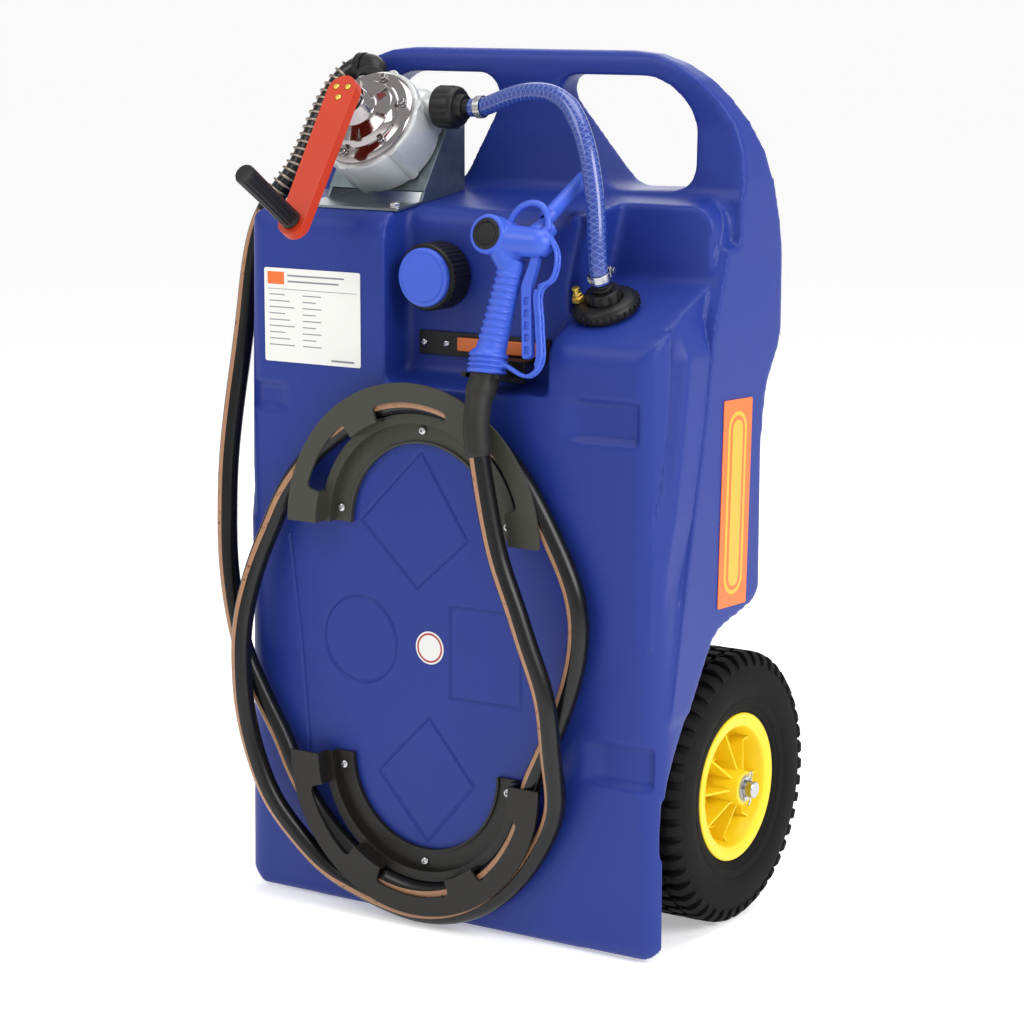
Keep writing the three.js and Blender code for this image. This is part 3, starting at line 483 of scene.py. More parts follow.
spring_route = [
    (-214, -23.2, 1015.7), (-219, -23.4, 1015.5), (-231, -30, 1004), (-241, -42, 981), (-249, -56, 953),
    (-258, -70, 917), (-271, -83, 884), (-290, -92, 861),
]
hose_route = [
    (-306, -98, 834), (-314, -105, 798), (-316.5, -112, 760), (-314, -125, 710), (-313, -138, 660),
    (-315, -150, 600), (-316, -160, 540), (-314, -167, 480), (-310, -172, 420), (-300, -175, 360),
    (-284, REST, 305), (-261, REST, 262), (-243, REST, 232), (-225.5, REST, 205), lower(190, 186), lower(211, 167),
    lower(235, INNER + 1.5), *[lower(angle, INNER) for angle in range(255, 331, 15)], lower(345, INNER + 1.5),
    lower(0, 158), (145, REST, 215), (157, REST, 240), (170, REST, 270), (184, REST, 305), (196, REST, 345),
    (200.5, REST, 372), (201, REST, 400), (195.5, REST, 430), (175.5, REST, 474), upper(29, 164),
    upper(45, INNER + 2), *[upper(angle, INNER) for angle in range(60, 121, 15)], upper(135, 158), upper(150, 170),
    upper(169, 192.5, -178.5), (-233, -182, 471), (-251, -188, 427), (-264, -197, 372), (-268, -202, 330),
    (-267, -204, 290), (-264, -204, 248), (-254, -201, 196), (-229.5, -196, 132.6), (-198, -188, 90),
    lower(228, 198, -179), lower(243, 186), lower(257, OUTER),
    *[lower(angle, OUTER) for angle in range(270, 316, 15)], lower(330, OUTER + 2.5), lower(345, 190),
    lower(355, 196.5, -181.5), (178, -192.5, 214), (179.5, -203, 250), (176.5, -208, 305), (168, -210, 336),
    (157, -212, 364), (138, -213, 415), (117.5, -214, 465), (106, -214.5, 508), (97.4, -214.5, 548),
    (89.8, -214.5, 588),
]
sleeve_route = [
    (86.5, -213.5, 606), (84.5, -211.5, 622), (82.5, -206, 640), (80.5, -198.5, 655), (80.5, -191, 668),
    (82, -187, 678), (82.2, -184.4, 688),
]
whole_route = spaced(catmull(spring_route + hose_route + sleeve_route), 4)


def nearest(place):
    """Number of the route's point nearest to a place."""
    return int(np.argmin(np.linalg.norm(whole_route - np.array(place), axis=1)))


hose_line = eased(whole_route[: nearest((85.4, -212.8, 614)) + 1], 24)
spring_end = nearest(spring_route[-1])


def hose_tube():
    """The hose with its coloured stripe as one of the tube's long face rows."""
    sides = 32
    stripe_way = [(-0.45 + 0.3 * math.sin(i / 70), -1, 0.25 * math.sin(i / 110)) for i in range(len(hose_line))]
    verts, faces = swept(hose_line, HOSE, sides, stripe_way)
    shell = Shell()
    shell.verts, shell.faces = verts, faces
    shell.looks = [int(number % sides in (0, 1, sides - 1) and number > sides * (spring_end + 6))
                   for number in range(len(faces) - 2)] + [0, 0]
    return shell


hose = put(hose_tube().piece("delivery_hose_tube", sharp=180, weld=False), None, "delivery_hose",
           "delivery_hose", "hose_stripe", replaces="delivery_hose")


def coil(line, reach, wire, pitch, sides=8, turn_steps=22):
    """Wire wound round a line."""
    step = pitch / turn_steps
    line = spaced(line, step)
    normals, binormals = frames_along(line)
    angles = (2 * np.pi / turn_steps * np.arange(len(line)))[:, None]
    return swept(line + reach * (np.cos(angles) * normals + np.sin(angles) * binormals), wire, sides)


spring = Shell().add(coil(hose_line[3 : spring_end + 1], 14.1, 1.8, 9.6))
spring = put(spring.piece("bend_spring", sharp=180, weld=False), "caddy", "steel", "spring_wire",
             replaces="spring_guard")

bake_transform(hose)


def sleeve():
    start = nearest((89.8, -214.5, 586))
    line = spaced(np.concatenate([hose_line[start : start + 2], eased(whole_route[start + 2 :], 3)]), 2)
    share = np.linspace(0, 1, len(line))
    radii = np.interp(share, [0, 0.02, 0.06, 0.62, 0.66, 0.7, 1], [13.2, 14.6, 15.2, 15.6, 17, 17.6, 17.8])
    return Shell().add(swept(line, radii, 32))


put(sleeve().piece("nozzle_bend_sleeve", sharp=50), "nozzle", "rubber", replaces="hose_sleeve")

# ---- suction hose

suction_route = catmull([
    (185, -106, 781), (185, -110.8, 792.5), (184, -112, 812), (181.5, -110, 840), (177, -106, 872),
    (169, -101, 905), (158, -95, 935), (143, -88, 961), (124, -80, 980), (100, -73, 990.5), (73, -67, 993),
    (46, -62, 990), (20, -57.5, 983), (-4, -54, 975), (-18, -53.1, 972.1), (-27, -53, 971.8),
])
suction_line = spaced(suction_route, 1.5)


def braided(line, radius, sides=36):
    """Tube whose UV map runs once round it and along it in millimetres."""
    shell = Shell().add(swept(line, radius, sides))
    obj = shell.piece("suction_hose_tube", sharp=180, weld=False)
    layer = obj.data.uv_layers.new(name="braid")
    step = float(np.linalg.norm(np.subtract(line[1], line[0])))
    for number, face in enumerate(obj.data.polygons):
        for corner in face.loop_indices:
            vert = obj.data.loops[corner].vertex_index
            across = vert % sides
            if number % sides == sides - 1 and across == 0:
                across = sides
            layer.data[corner].uv = (across / sides, vert // sides * step)
    return obj


def hose_blue():
    """Clear blue wall with its crossing braid threads seen inside."""
    mat = material("hose_clear_blue", (36, 56, 138), 0.2, grain=0.0, specular=0.6, coat=0.5)
    tree = mat.node_tree
    shader = tree.nodes["Principled BSDF"]
    wall = shader.inputs["Base Color"].links[0].from_socket

    def maths(operation, *values):
        return node(tree, "Math", values, "Value", operation=operation)

    threads_round, thread_pitch = 5, 7.5
    axes = node(tree, "SeparateXYZ", {"Vector": node(tree, "UVMap", {}, "UV", uv_map="braid")}).outputs
    turn = maths("MULTIPLY", axes["X"], 2 * math.pi * threads_round)
    runs = [maths("MULTIPLY", axes["Y"], way * 2 * math.pi / thread_pitch) for way in (1, -1)]
    threads = maths("MAXIMUM", *[maths("COSINE", maths("ADD", turn, run)) for run in runs])
    mask = node(tree, "MapRange", {"From Min": 0.72, "From Max": 0.96, "Value": threads}, "Result")
    thread_blue = linear((66, 92, 164))
    tint = node(tree, "Mix", {"A": wall, "B": thread_blue, "Factor": mask}, "Result", data_type="RGBA")
    bump = node(tree, "Bump", {"Strength": 0.5, "Distance": 0.0004, "Height": mask}, "Normal")
    feed(tree, shader, {"Base Color": tint, "Normal": bump})
    return mat


looks["suction_hose"] = hose_blue()
suction = put(braided(suction_line, 11), "caddy", "suction_hose", replaces="suction_hose")


def hose_clamp(end, at, radius=11.8):
    """Worm-drive clamp: slotted band, screw housing and hexagon screw."""
    shell = Shell()
    shell.add(turned([(radius + 0.4, 0.4), (radius + 0.8, 0), (radius + 1.6, 0.2), (radius + 1.6, 8.8),
                      (radius + 0.8, 9), (radius + 0.4, 8.6)]), at)
    for i in range(30):
        shell.add(block((radius + 1.4, -0.6, 2), (radius + 2, 0.6, 7)), at @ spin(20 + 10.5 * i))
    housing = [(-7, radius + 1.2, 0.6), (7, radius + 1.2, 0.6), (6, radius + 7, 2.4), (-6, radius + 7, 2.4)]
    shell.add(prism(rounded(housing), -0.6, 9.6), at)
    along = at @ Matrix.Translation((0, radius + 4.2, 4.5)) @ Matrix.Rotation(math.radians(90), 4, "Y")
    shell.add(prism(polygon(6, 3.6), 7, 12), along)
    shell.add(turned([(0, -9), (2.6, -9), (2.6, 7), (4.6, 7), (4.6, 8), (0, 8)], 24), along)
    return put(shell.piece(f"clamp_{end}", bevel=0.25), "caddy", "steel", replaces=f"suction_clamp_{end}")


clamps = [
    hose_clamp("tank", aim((0, -0.4, 0.91), (185, -107.6, 784.6))),
    hose_clamp("pump", aim((-1, 0.02, -0.05), (-9, -53.6, 973.4))),
]

# ---- tank


def segments_of(points, closed=True):
    ends = points[1:] + points[:1] if closed else points[1:]
    return [(*a, *b) for a, b in zip(points, ends)]


def engraved_lines():
    """Fine recessed lines of the front face, as (x, z, x, z)."""
    lines = segments_of([(-28, 575), (-116, 486), (-35, 410), (37, 475)])
    lines += segments_of([(-19, 254), (-93, 179), (-22, 99), (45, 178)])
    lines += segments_of([(12, 282), (112, 282), (112, 393), (12, 393)])
    lines += segments_of([(-119 + x, 338 + z) for x, z in polygon(48, 53)])
    return lines + segments_of([(-223, 454), (-208, 330), (-196, 181)], closed=False)


def distance_to_lines(points, lines):
    """Distance from each point to the nearest of the line segments."""
    best = np.full(len(points), 1e9)
    for x0, z0, x1, z1 in lines:
        way = np.array([x1 - x0, z1 - z0])
        share = np.clip(((points - (x0, z0)) @ way) / (way @ way), 0, 1)
        best = np.minimum(best, np.linalg.norm(points - (x0, z0) - share[:, None] * way, axis=1))
    return best


def smooth(value, low, high):
    t = np.clip((value - low) / (high - low), 0, 1)
    return t * t * (3 - 2 * t)


def front_recess(x, z, x0, x1, z0, z1, depth, ramp, left_soft=True):
    """Depth of a strap recess in the front face: one end runs out softly, the other stops square."""
    start = smooth(x, x0, x0 + (ramp if left_soft else 4))
    stop = 1 - smooth(x, x1 - (4 if left_soft else ramp), x1)
    return depth * start * stop * smooth(z, z0, z0 + 7) * (1 - smooth(z, z1 - 7, z1))


def corner_inset(y):
    """How far the front block's upright edge has rounded inwards at depth y."""
    return CORNER - np.sqrt(np.maximum(0, CORNER**2 - np.maximum(0, FRONT + CORNER - y) ** 2))


def refine(bm, chosen):
    """Splits the edges of the chosen faces in four."""
    edges = {edge for i in np.nonzero(chosen)[0] for edge in bm.faces[i].edges}
    bmesh.ops.subdivide_edges(bm, edges=list(edges), cuts=3, use_grid_fill=True)


def face_centres(bm):
    bm.faces.ensure_lookup_table()
    return np.array([face.calc_center_median() for face in bm.faces]) / MM


def slope_band(bm):
    """Slopes the side band up to the wings and runs its lower end out."""
    sides = [v for v in bm.verts if abs(v.co.x) > 0.279 and -0.158 < v.co.y < 0.01 and 0.37 < v.co.z < 0.84]
    x, y, z = np.abs([v.co for v in sides]).T / MM * np.array([1, -1, 1])[:, None]
    wing_edge = np.interp(z, [420, 618, 729, 828], [-109, -67, -46, -11])
    band_front = np.interp(z, [470, 590, 680, 740, 828], [-158, -134, -120, -116, -68])
    share = (y - band_front) / (wing_edge - band_front)
    block_side = BLOCK_HALF - BLOCK_TAPER * z - corner_inset(y)
    banded = (share > 0) & (share < 1.05) & (z < 822)
    band_floor = 283
    rise = np.interp(z, [400, 520, 700, 745], [9, 15.5, 15.5, 0])
    raised = np.maximum(x, np.where(banded, band_floor + rise * smooth(share, 0, 0.34), 0))
    lift = np.maximum(1 - smooth(z, 425, 600), smooth(-share, -0.01, 0.07) * (1 - smooth(z, 690, 735)))
    raised += np.maximum(0, block_side - raised) * lift * smooth(z, 372, 392) * (y < wing_edge + 4)
    for vert, reach in zip(sides, raised):
        vert.co.x = math.copysign(reach * MM, vert.co.x)


def crease_sides(bm):
    """Cuts the fine lines along both edges of the side band."""
    wing_line = [(22, 900), (-10, 824), (-45, 731), (-62, 625), (-100, 460), (-134, 300)]
    band_line = [(-70, 824), (-115, 742), (-120, 680), (-134, 590), (-153, 495)]
    wing_line, band_line = segments_of(wing_line, closed=False), segments_of(band_line, closed=False)
    centres = face_centres(bm)
    sideways = np.abs([face.normal.x for face in bm.faces])
    near = (sideways > 0.5) & (np.abs(centres[:, 0]) > 268)
    near[near] &= distance_to_lines(centres[near][:, 1:], wing_line + band_line) < 8
    refine(bm, near)
    sides = [v for v in bm.verts if abs(v.co.x) > 0.268 and v.co.z > 0.29]
    places = np.array([v.co[1:] for v in sides]) / MM
    wing_cut = 1.8 * (1 - smooth(distance_to_lines(places, wing_line), 0.3, 2.6))
    band_cut = 4 * smooth(places[:, 1], 495, 610) * (1 - smooth(distance_to_lines(places, band_line), 0.5, 4.5))
    for vert, depth in zip(sides, np.maximum(wing_cut, band_cut)):
        vert.co.x -= math.copysign(depth * MM, vert.co.x)


def keep_outer_skin(bm):
    """Deletes the cavity's wall: all that does not hang together with the outermost vertex."""
    outermost = max(bm.verts, key=lambda vert: vert.co.x)
    reached, stack = {outermost}, [outermost]
    while stack:
        vert = stack.pop()
        for edge in vert.link_edges:
            other = edge.other_vert(vert)
            if other not in reached:
                reached.add(other)
                stack.append(other)
    bmesh.ops.delete(bm, geom=[vert for vert in bm.verts if vert not in reached], context="VERTS")


def shape_front(bm):
    """Cuts the fine lines and strap recesses into the front face, and rounds the tank's lower corners."""
    lines = engraved_lines()
    centres = face_centres(bm)
    refine(bm, (centres[:, 1] < FRONT + 1.5) & (distance_to_lines(centres[:, [0, 2]], lines) < 8))
    places = np.array([vert.co for vert in bm.verts]) / MM
    x, y, z = places.T
    push = 1.7 * (1 - smooth(distance_to_lines(places[:, [0, 2]], lines), 0.3, 2.4))
    push += front_recess(x, z, 188, 288, 206, 260, 7, 40)
    push += front_recess(x, z, 160, 268, 604, 656, 7, 40)
    push += front_recess(x, z, -296, -216, 606, 642, 6, 30, left_soft=False)
    y += push * ((y < FRONT + 16) & (np.abs(x) < 296))
    across = np.abs(x) - (BLOCK_HALF - corner_inset(y) - FOOT_RADIUS)
    down = FOOT_RADIUS - z
    reach = np.hypot(across, down)
    pull = ((across > 0) & (down > 0) & (reach > FOOT_RADIUS)) * (1 - FOOT_RADIUS / reach)
    x -= np.copysign(across * pull, x)
    z += down * pull
    for vert, place in zip(bm.verts, places):
        vert.co = place * MM


def tank_skin():
    """The CAD tank with its holes closed, melted into a soft skin, and with its fine lines and recesses."""
    obj = placed("tank_skin", nodes["tank"].data.copy())
    plugs = Shell().add(disc(31.5, -7, 0), filler_frame).add(disc(30, -7.5, 0), suction_frame)
    for middle, angle in screw_places:
        plugs.add(disc(4, -6, 0), aim((0, -1, 0), around(middle, angle, SCREW_REACH, FRONT)))
    plug = plugs.piece("plugs")
    with editing(obj) as bm:
        bm.from_mesh(plug.data)
        bmesh.ops.remove_doubles(bm, verts=bm.verts, dist=WELD)
    bpy.data.objects.remove(plug)
    fuse(obj, 4, 9)
    with editing(obj) as bm:
        keep_outer_skin(bm)
        shape_front(bm)
        slope_band(bm)
        crease_sides(bm)
    shade(obj, 180)
    return obj


put(tank_skin(), "caddy", "tank", replaces="tank")

# ---- label and stickers


def plate(low, high, radius, z0, z1):
    (x0, y0), (x1, y1) = low, high
    return prism(rounded([(x0, y0, radius), (x1, y0, radius), (x1, y1, radius), (x0, y1, radius)]), z0, z1)


def blank_label():
    """White data plate with a colour block and rules where the writing would be."""
    at = aim((0, -1, 0), (-185, FRONT, 723.5))  # x to the right, y up
    shell = Shell().add(plate((-71, -56.5), (71, 56.5), 2.5, 0.3, 1.1), at)
    shell.add(plate((-66, 37), (-41, 52), 0.8, 1.0, 1.22), at, 1)
    rules = [((-36, 47), (48, 49), 0.5), ((-36, 40), (40, 42), 0.5), ((-66, 31), (66, 31.7), 0.3)]
    for row in range(9):
        low, high = 24 - 7.6 * row, 25.2 - 7.6 * row
        rules += [((-64, low), (-40 + 7 * (row % 3), high), 0.4), ((-14, low), (14 - 8 * (row % 2), high), 0.4)]
    rules.append(((28, -52), (62, -49.6), 0.5))
    for low, high, radius in rules:
        shell.add(plate(low, high, radius, 1.0, 1.2), at, 2)
    return shell.piece("blank_label")


put(blank_label(), "caddy", "label", "label", "sticker", "label_ink", replaces="label_plate")

for hand, side in (("left", -1), ("right", 1)):
    lean = Matrix.Rotation(math.radians(-2.4), 4, "X")
    at = Matrix.Translation((side * 300.3, 8, 520)) @ lean @ Matrix.Rotation(math.radians(90 * side), 4, "Y")
    shell = Shell().add(plate((-122, -34), (122, 34), 2.5, 0, 0.8), at)
    for inset, low, high, look in ((0, 0.6, 0.95, 1), (5, 0.9, 1.1, 0), (10, 1.0, 1.25, 1)):
        shell.add(plate((inset - 108, inset - 22), (108 - inset, 22 - inset), 21.5 - inset, low, high), at, look)
    put(shell.piece(f"sticker_{hand}"), "caddy", "sticker", "sticker", "sticker_light",
        replaces=f"side_sticker_{hand}")

at = aim((0, -1, 0), (-17, FRONT, 339))
round_sticker = Shell().add(disc(20, 0.05, 0.45, 48), at)
round_sticker.add(turned([(15.6, 0.4), (18, 0.4), (18, 0.6), (15.6, 0.6)], 48), at, 1)
put(round_sticker.piece("blank_round_sticker"), "caddy", "label", "label", "label_red")

# ---- hose brackets


def hose_bracket(name, middle_z, turn):
    """Crescent moulding with a stepped saddle, three windows and a wide front flange."""
    foot = 0.3
    sheet, inner, saddle, flange, depth, step = 4, 104, 141, 179, 34, 16
    wall = saddle - 8
    profile = [
        (inner, foot), (wall, foot), (wall, step - sheet), (saddle, step - sheet), (saddle, depth - sheet),
        (flange, depth - sheet), (flange, depth), (saddle - sheet, depth), (saddle - sheet, step),
        (wall - sheet, step), (wall - sheet, foot + sheet), (inner + 3, foot + sheet), (inner + 3, 3 + sheet),
        (inner, 3 + sheet),
    ]
    obj = Shell().add(turned(profile, 120, 0, 180)).piece(f"bracket_{name}")
    windows = Shell()
    for start, end in ((16, 52), (70, 110), (128, 164)):
        low, high, corner = wall + 1, saddle + 15, 5
        loop = [(high, a) for a in np.linspace(start + 2.2, end - 2.2, 21)]
        loop += [(high - 1.5, end - 0.7), (high - corner, end), (low + 1, end), (low, end)]
        loop += [(low, a) for a in np.linspace(end, start, 21)[1:]]
        loop += [(low + 1, start), (high - corner, start), (high - 1.5, start + 0.7)]
        windows.add(prism([on_circle(r, a) for r, a in loop], step + 0.5, depth + 6))
    for angle in SCREW_ANGLES:
        windows.add(disc(2.8, -2, 9, 24), Matrix.Translation((*on_circle(SCREW_REACH, angle), 0)))
    carve(obj, windows)
    obj.data.transform(Matrix.Translation(Vector((BRACKET_X, FRONT, middle_z)) * MM)
                       @ Matrix.Rotation(math.radians(turn), 4, "Y") @ Matrix.Rotation(math.radians(90), 4, "X"))
    finish_edges(obj, 30, 1.1)
    # Same plastic for both: the upper bracket takes the tone with painted light, the lower one the tone with
    # painted shade.
    return put(obj, "caddy", "black_plastic", f"bracket_{name}", replaces=f"hose_bracket_{name}")


hose_bracket("upper", UPPER_Z, 0)
hose_bracket("lower", LOWER_Z, 180)


def socket_screw(name, at, head=5.5, high=3.8, shank=2.3, length=9.5, replaces=()):
    """Button-head screw with a hexagon socket."""
    profile = [(0, -length), (shank, -length), (shank, 0), (head, 0), (head, high * 0.35),
               (head * 0.93, high * 0.62), (head * 0.7, high * 0.9), (head * 0.45, high), (0, high)]
    obj = Shell().add(turned(profile, 32)).piece(name)
    carve(obj, Shell().add(prism(polygon(6, head * 0.42), high * 0.45, high + 2)))
    shade(moved(obj, at), 40)
    return put(obj, "caddy", "steel", replaces=replaces)


for number, (middle, angle) in enumerate(screw_places, 1):
    place = around(middle, angle, SCREW_REACH, FRONT - 4.6)
    socket_screw(f"screw_{number}", aim((0, -1, 0), place), replaces=f"bracket_screw_{number}")

# ---- filler cap


def fluted(profile, flutes, depth, softness, steps, groove):
    """Turned shape whose outside, between the groove's least radius and heights, is ribbed for grip."""
    verts, faces = turned(profile, steps)
    least, low, high = groove
    shaped = []
    for x, y, z in verts:
        radius, angle = math.hypot(x, y), math.atan2(y, x)
        if radius > least and low < z < high:
            radius -= depth * max(0.0, math.cos(flutes * angle)) ** softness
        shaped.append((radius * math.cos(angle), radius * math.sin(angle), z))
    return shaped, faces


cap_ring = Shell().add(fluted([(31.8, 1), (38.5, 1), (40, 2.5), (40, 35), (38.5, 36.5), (31.8, 36.5)],
                              40, 1.1, 0.6, 240, (38.4, 1.75, 37.5)), filler_frame)
cap_ring.add(turned([(0, 30.4), (32.5, 30.4), (32.5, 36.5), (38.6, 36.6), (37.6, 38), (35.4, 38.2), (35.2, 37.4),
                     (0, 37.4)], 96), filler_frame)
put(cap_ring.piece("cap_ring"), "filler_cap", "black_plastic", replaces="filler_cap")
cap_disc = Shell().add(turned([(0, 37.6), (34.4, 37.6), (34.6, 42.4), (34, 43.9), (32.4, 44.7), (30.2, 44.9),
                               (29.6, 44.3), (28.6, 44.3), (28, 45.1), (0, 45.6)], 96), filler_frame)
put(cap_disc.piece("cap_disc", sharp=50), "filler_cap", "light_blue_plastic", replaces="filler_cap_disc")

# ---- suction fitting

flange = Shell()
neck = [(8.6, -16), (27.5, -16), (27.5, 2), (24, 3), (19.6, 14), (19.5, 27.5), (18.6, 29), (8.6, 29)]
collar = [(23, 2.6), (36.5, 2.6), (38.4, 4), (38.4, 9.6), (37, 12.4), (34.6, 15.2), (31, 16.8), (22, 17.3)]
flange.add(turned(neck), suction_frame).add(turned(collar, 96), suction_frame)
nut_rib = rounded([(35.5, -1.7, 0.5), (40, -1.1, 0.9), (40, 1.1, 0.9), (35.5, 1.7, 0.5)])
neck_rib = rounded([(18, -2.4, 0.5), (21.6, -1.6, 0.9), (21.6, 1.6, 0.9), (18, 2.4, 0.5)])
for rib, count, low, high in ((nut_rib, 28, 3.4, 12), (neck_rib, 10, 15, 27)):
    for i in range(count):
        flange.add(prism(rib, low, high), suction_frame @ spin(360 / count * i))
put(flange.piece("suction_nut", bevel=0.4), "caddy", "black_plastic", replaces="suction_flange")

tail = Shell().add(turned([(6, 0), (8.3, 0), (8.3, 29.3), (12, 29.3), (12.6, 30), (12.6, 32.6), (12, 33), (9, 34),
                           (9, 36), (6, 36)]), suction_frame)
put(tail.piece("suction_spigot", bevel=0.3), "caddy", "black_plastic", replaces="suction_tail")

vent = Shell()
vent_frame = suction_frame @ Matrix.Translation((-29.5, -9, 0))
vent.add(turned([(0, 8), (4, 8), (4, 17.6), (6.4, 17.8), (6.4, 23.4), (5.2, 24.2), (5.6, 25), (5.6, 27), (4.2, 28),
                 (4.2, 32.4), (4.9, 32.8), (4.9, 34.2), (4.2, 34.9), (0, 35)], 48), vent_frame)
vent.add(prism(polygon(6, 8.3), 17.6, 22.8), vent_frame)
put(vent.piece("brass_vent", bevel=0.35), "caddy", "brass", replaces="vent_valve")

# ---- pump


OUTLET_X, INLET_Y, PORT_Z = -40, 38, -30
up_port = aim((0, 1, 0), (OUTLET_X, 0, PORT_Z))
side_port = aim((1, 0, 0), (0, INLET_Y, PORT_Z))


def pump_casing():
    drum = [(0, -60), (60, -60), (64.5, -59), (67, -56), (68, -52), (68, -4), (67, -1.2), (65, 0), (0, 0)]
    obj = Shell().add(turned(drum, 96)).piece("pump_casing")
    for at, reach in ((up_port, 69.6), (side_port, 71.6)):
        port = [(0, 10), (20.5, 10), (20.5, 50), (18, 56), (17, 59), (17, reach - 1), (16, reach), (0, reach)]
        carve(obj, Shell().add(turned(port, 48), at), "UNION")
    for angle in range(0, 360, 60):
        boss = turned([(0, -57.5), (8.5, -57.5), (9.5, -50), (9.5, -0.6), (8.9, 0), (0, 0)], 32)
        carve(obj, Shell().add(boss, spin(angle + 20, 60.5)), "UNION")
    carve(obj, Shell().add(disc(50, -52, 5, 96)))
    for at in (up_port, side_port):
        carve(obj, Shell().add(disc(9, 20, 90, 32), at))
    finish_edges(moved(obj, pump_frame), 32, 0.8)
    return obj


put(pump_casing(), "caddy", "cast_aluminium", replaces="pump_housing")

cover = Shell()
cover.add(turned([(12.4, 0.3), (62, 0.3), (62.6, 1), (62.6, 4.6), (61.8, 5.6), (58.5, 8.6), (57, 9.2), (47.5, 9.8),
                  (46, 10.8), (43.4, 17.4), (41.5, 19.4), (38, 20.4), (26, 23.4), (23.6, 24.6), (22.2, 27),
                  (20.4, 42.8), (19.6, 44), (12.4, 44)], 128), pump_frame)
cover_screw = [(0, 9), (5.6, 9), (5.6, 10), (4.6, 10.2), (4.6, 14.2), (3.9, 15), (2.4, 15), (2.4, 13), (0, 13)]
for angle in range(0, 360, 60):
    cover.add(turned(cover_screw, 32), pump_frame @ spin(angle + 20, 52.6))
    cover.add(block((21, -1.6, 17), (42, 1.6, 23)), pump_frame @ spin(angle + 50))
put(cover.piece("pump_front", sharp=28, bevel=0.3), "caddy", "chrome", replaces="pump_cover")

mark_at = pump_frame @ spin(38) @ Matrix.Translation((33, 0, 22)) @ Matrix.Rotation(0.14, 4, "Y")
mark = Shell().add(prism(rounded([(-6, -5.5, 1), (6.5, 0, 1), (-6, 5.5, 1)]), -1.5, 0.9), mark_at)
put(mark.piece("turning_mark", bevel=0.2), "caddy", "red_plastic", "dark_red")

arm_outline = rounded([(-20, 20, 19.5), (-18, -194, 17.5), (18, -194, 17.5), (20, 20, 19.5)], 14)
arm = Shell().add(prism(arm_outline, 51, 65), pump_frame).piece("crank_lever", sharp=30)
grip_frame = pump_frame @ Matrix.Translation((0, -176, 0))
carve(arm, Shell().add(disc(5.3, 40, 80, 32), grip_frame))
for angle in (30, 150, 270):
    place = pump_frame @ spin(angle, 9.6)
    carve(arm, Shell().add(disc(4.4, 62.6, 70, 32), place))
    head = Shell().add(turned([(0, 62.7), (3.7, 62.7), (3.7, 65.2), (3, 66), (0, 66.2)], 32))
    head = head.piece(f"lever_screw_{angle}")
    carve(head, Shell().add(block((-4, -0.45, 65), (4, 0.45, 68))).add(block((-0.45, -4, 65), (0.45, 4, 68))))
    shade(moved(head, place), 35)
    put(head, "crank", "brass")
shade(arm, 30)
add_bevel(arm, 2.8, 4, 50)
put(arm, "crank", "red_plastic", replaces="crank_arm")

grip_outline = [(5.4, 66), (11, 66), (12.2, 67), (12.2, 70), (11.4, 71.5), (11.4, 74), (12, 76), (11.6, 112),
                (12.4, 166), (12.4, 168.5), (11.2, 170.6), (9, 171), (0, 171), (0, 163), (5.4, 163)]
grip = Shell().add(fluted(grip_outline, 12, 0.85, 0.7, 120, (10, 75, 169)), grip_frame)
put(grip.piece("crank_handle", sharp=40), "crank_grip", "black_plastic", replaces="crank_grip")

bend = [(OUTLET_X, 70.6, PORT_Z), (OUTLET_X, 75, PORT_Z)]
for angle in np.linspace(0, math.pi / 2, 14):
    bend.append((OUTLET_X - 13 + 13 * math.cos(angle), 78 + 13 * math.sin(angle), PORT_Z))
bend += [(OUTLET_X - run, 91, PORT_Z) for run in (14, 17, 17.2, 25.6, 27)]
bend_radii = [16.4] * (len(bend) - 4) + [15.6, 17.6, 17.6, 16.6]
elbow = moved(Shell().add(swept(bend, bend_radii, 48)).piece("outlet_bend", sharp=40), pump_frame)
put(elbow, "caddy", "black_plastic", replaces="outlet_elbow")
nut = moved(Shell().add(prism(polygon(8, 21), 70.6, 81), up_port).piece("outlet_nut", bevel=0.8), pump_frame)
put(nut, "caddy", "black_plastic")

union = Shell().add(prism(polygon(8, 26.5), 76, 97), side_port)
union.add(turned([(9, 72.6), (24.6, 72.6), (25, 73.4), (25, 78), (25.4, 95), (24.4, 99.4), (21.6, 102.4),
                  (16, 103), (15, 110), (9.5, 111), (9.5, 117), (7, 117), (7, 100), (9, 98)]), side_port)
union = moved(union.piece("inlet_nut", bevel=1.6, segments=3), pump_frame)
put(union, "caddy", "black_plastic", replaces="inlet_union")


def softened(part, name, look, width, segments=2):
    """A CAD node's own shape with its edges rounded."""
    obj = placed(name, nodes[part].data.copy())
    with editing(obj) as bm:
        bmesh.ops.remove_doubles(bm, verts=bm.verts, dist=WELD)
        bmesh.ops.dissolve_limit(bm, angle_limit=math.radians(0.5), verts=bm.verts, edges=bm.edges)
    shade(obj, 30)
    add_bevel(obj, width, segments)
    return put(obj, "caddy", look, replaces=part)


softened("pump_bracket", "pump_stand", "zinc", 0.7)


def hex_bolt(name, at, across, head):
    """Hexagon bolt head on a washer."""
    shell = Shell().add(disc(across * 1.15, 0, 1.4, 40), at)
    shell.add(prism(polygon(6, across), 1.4, 1.4 + head), at)
    shell.add(turned([(0, 1.4), (across * 0.8, 1.4), (across * 0.8, 1.9 + head), (across * 0.4, 2.2 + head),
                      (0, 2.2 + head)], 32), at)
    return put(shell.piece(name, bevel=0.4), "caddy", "steel")


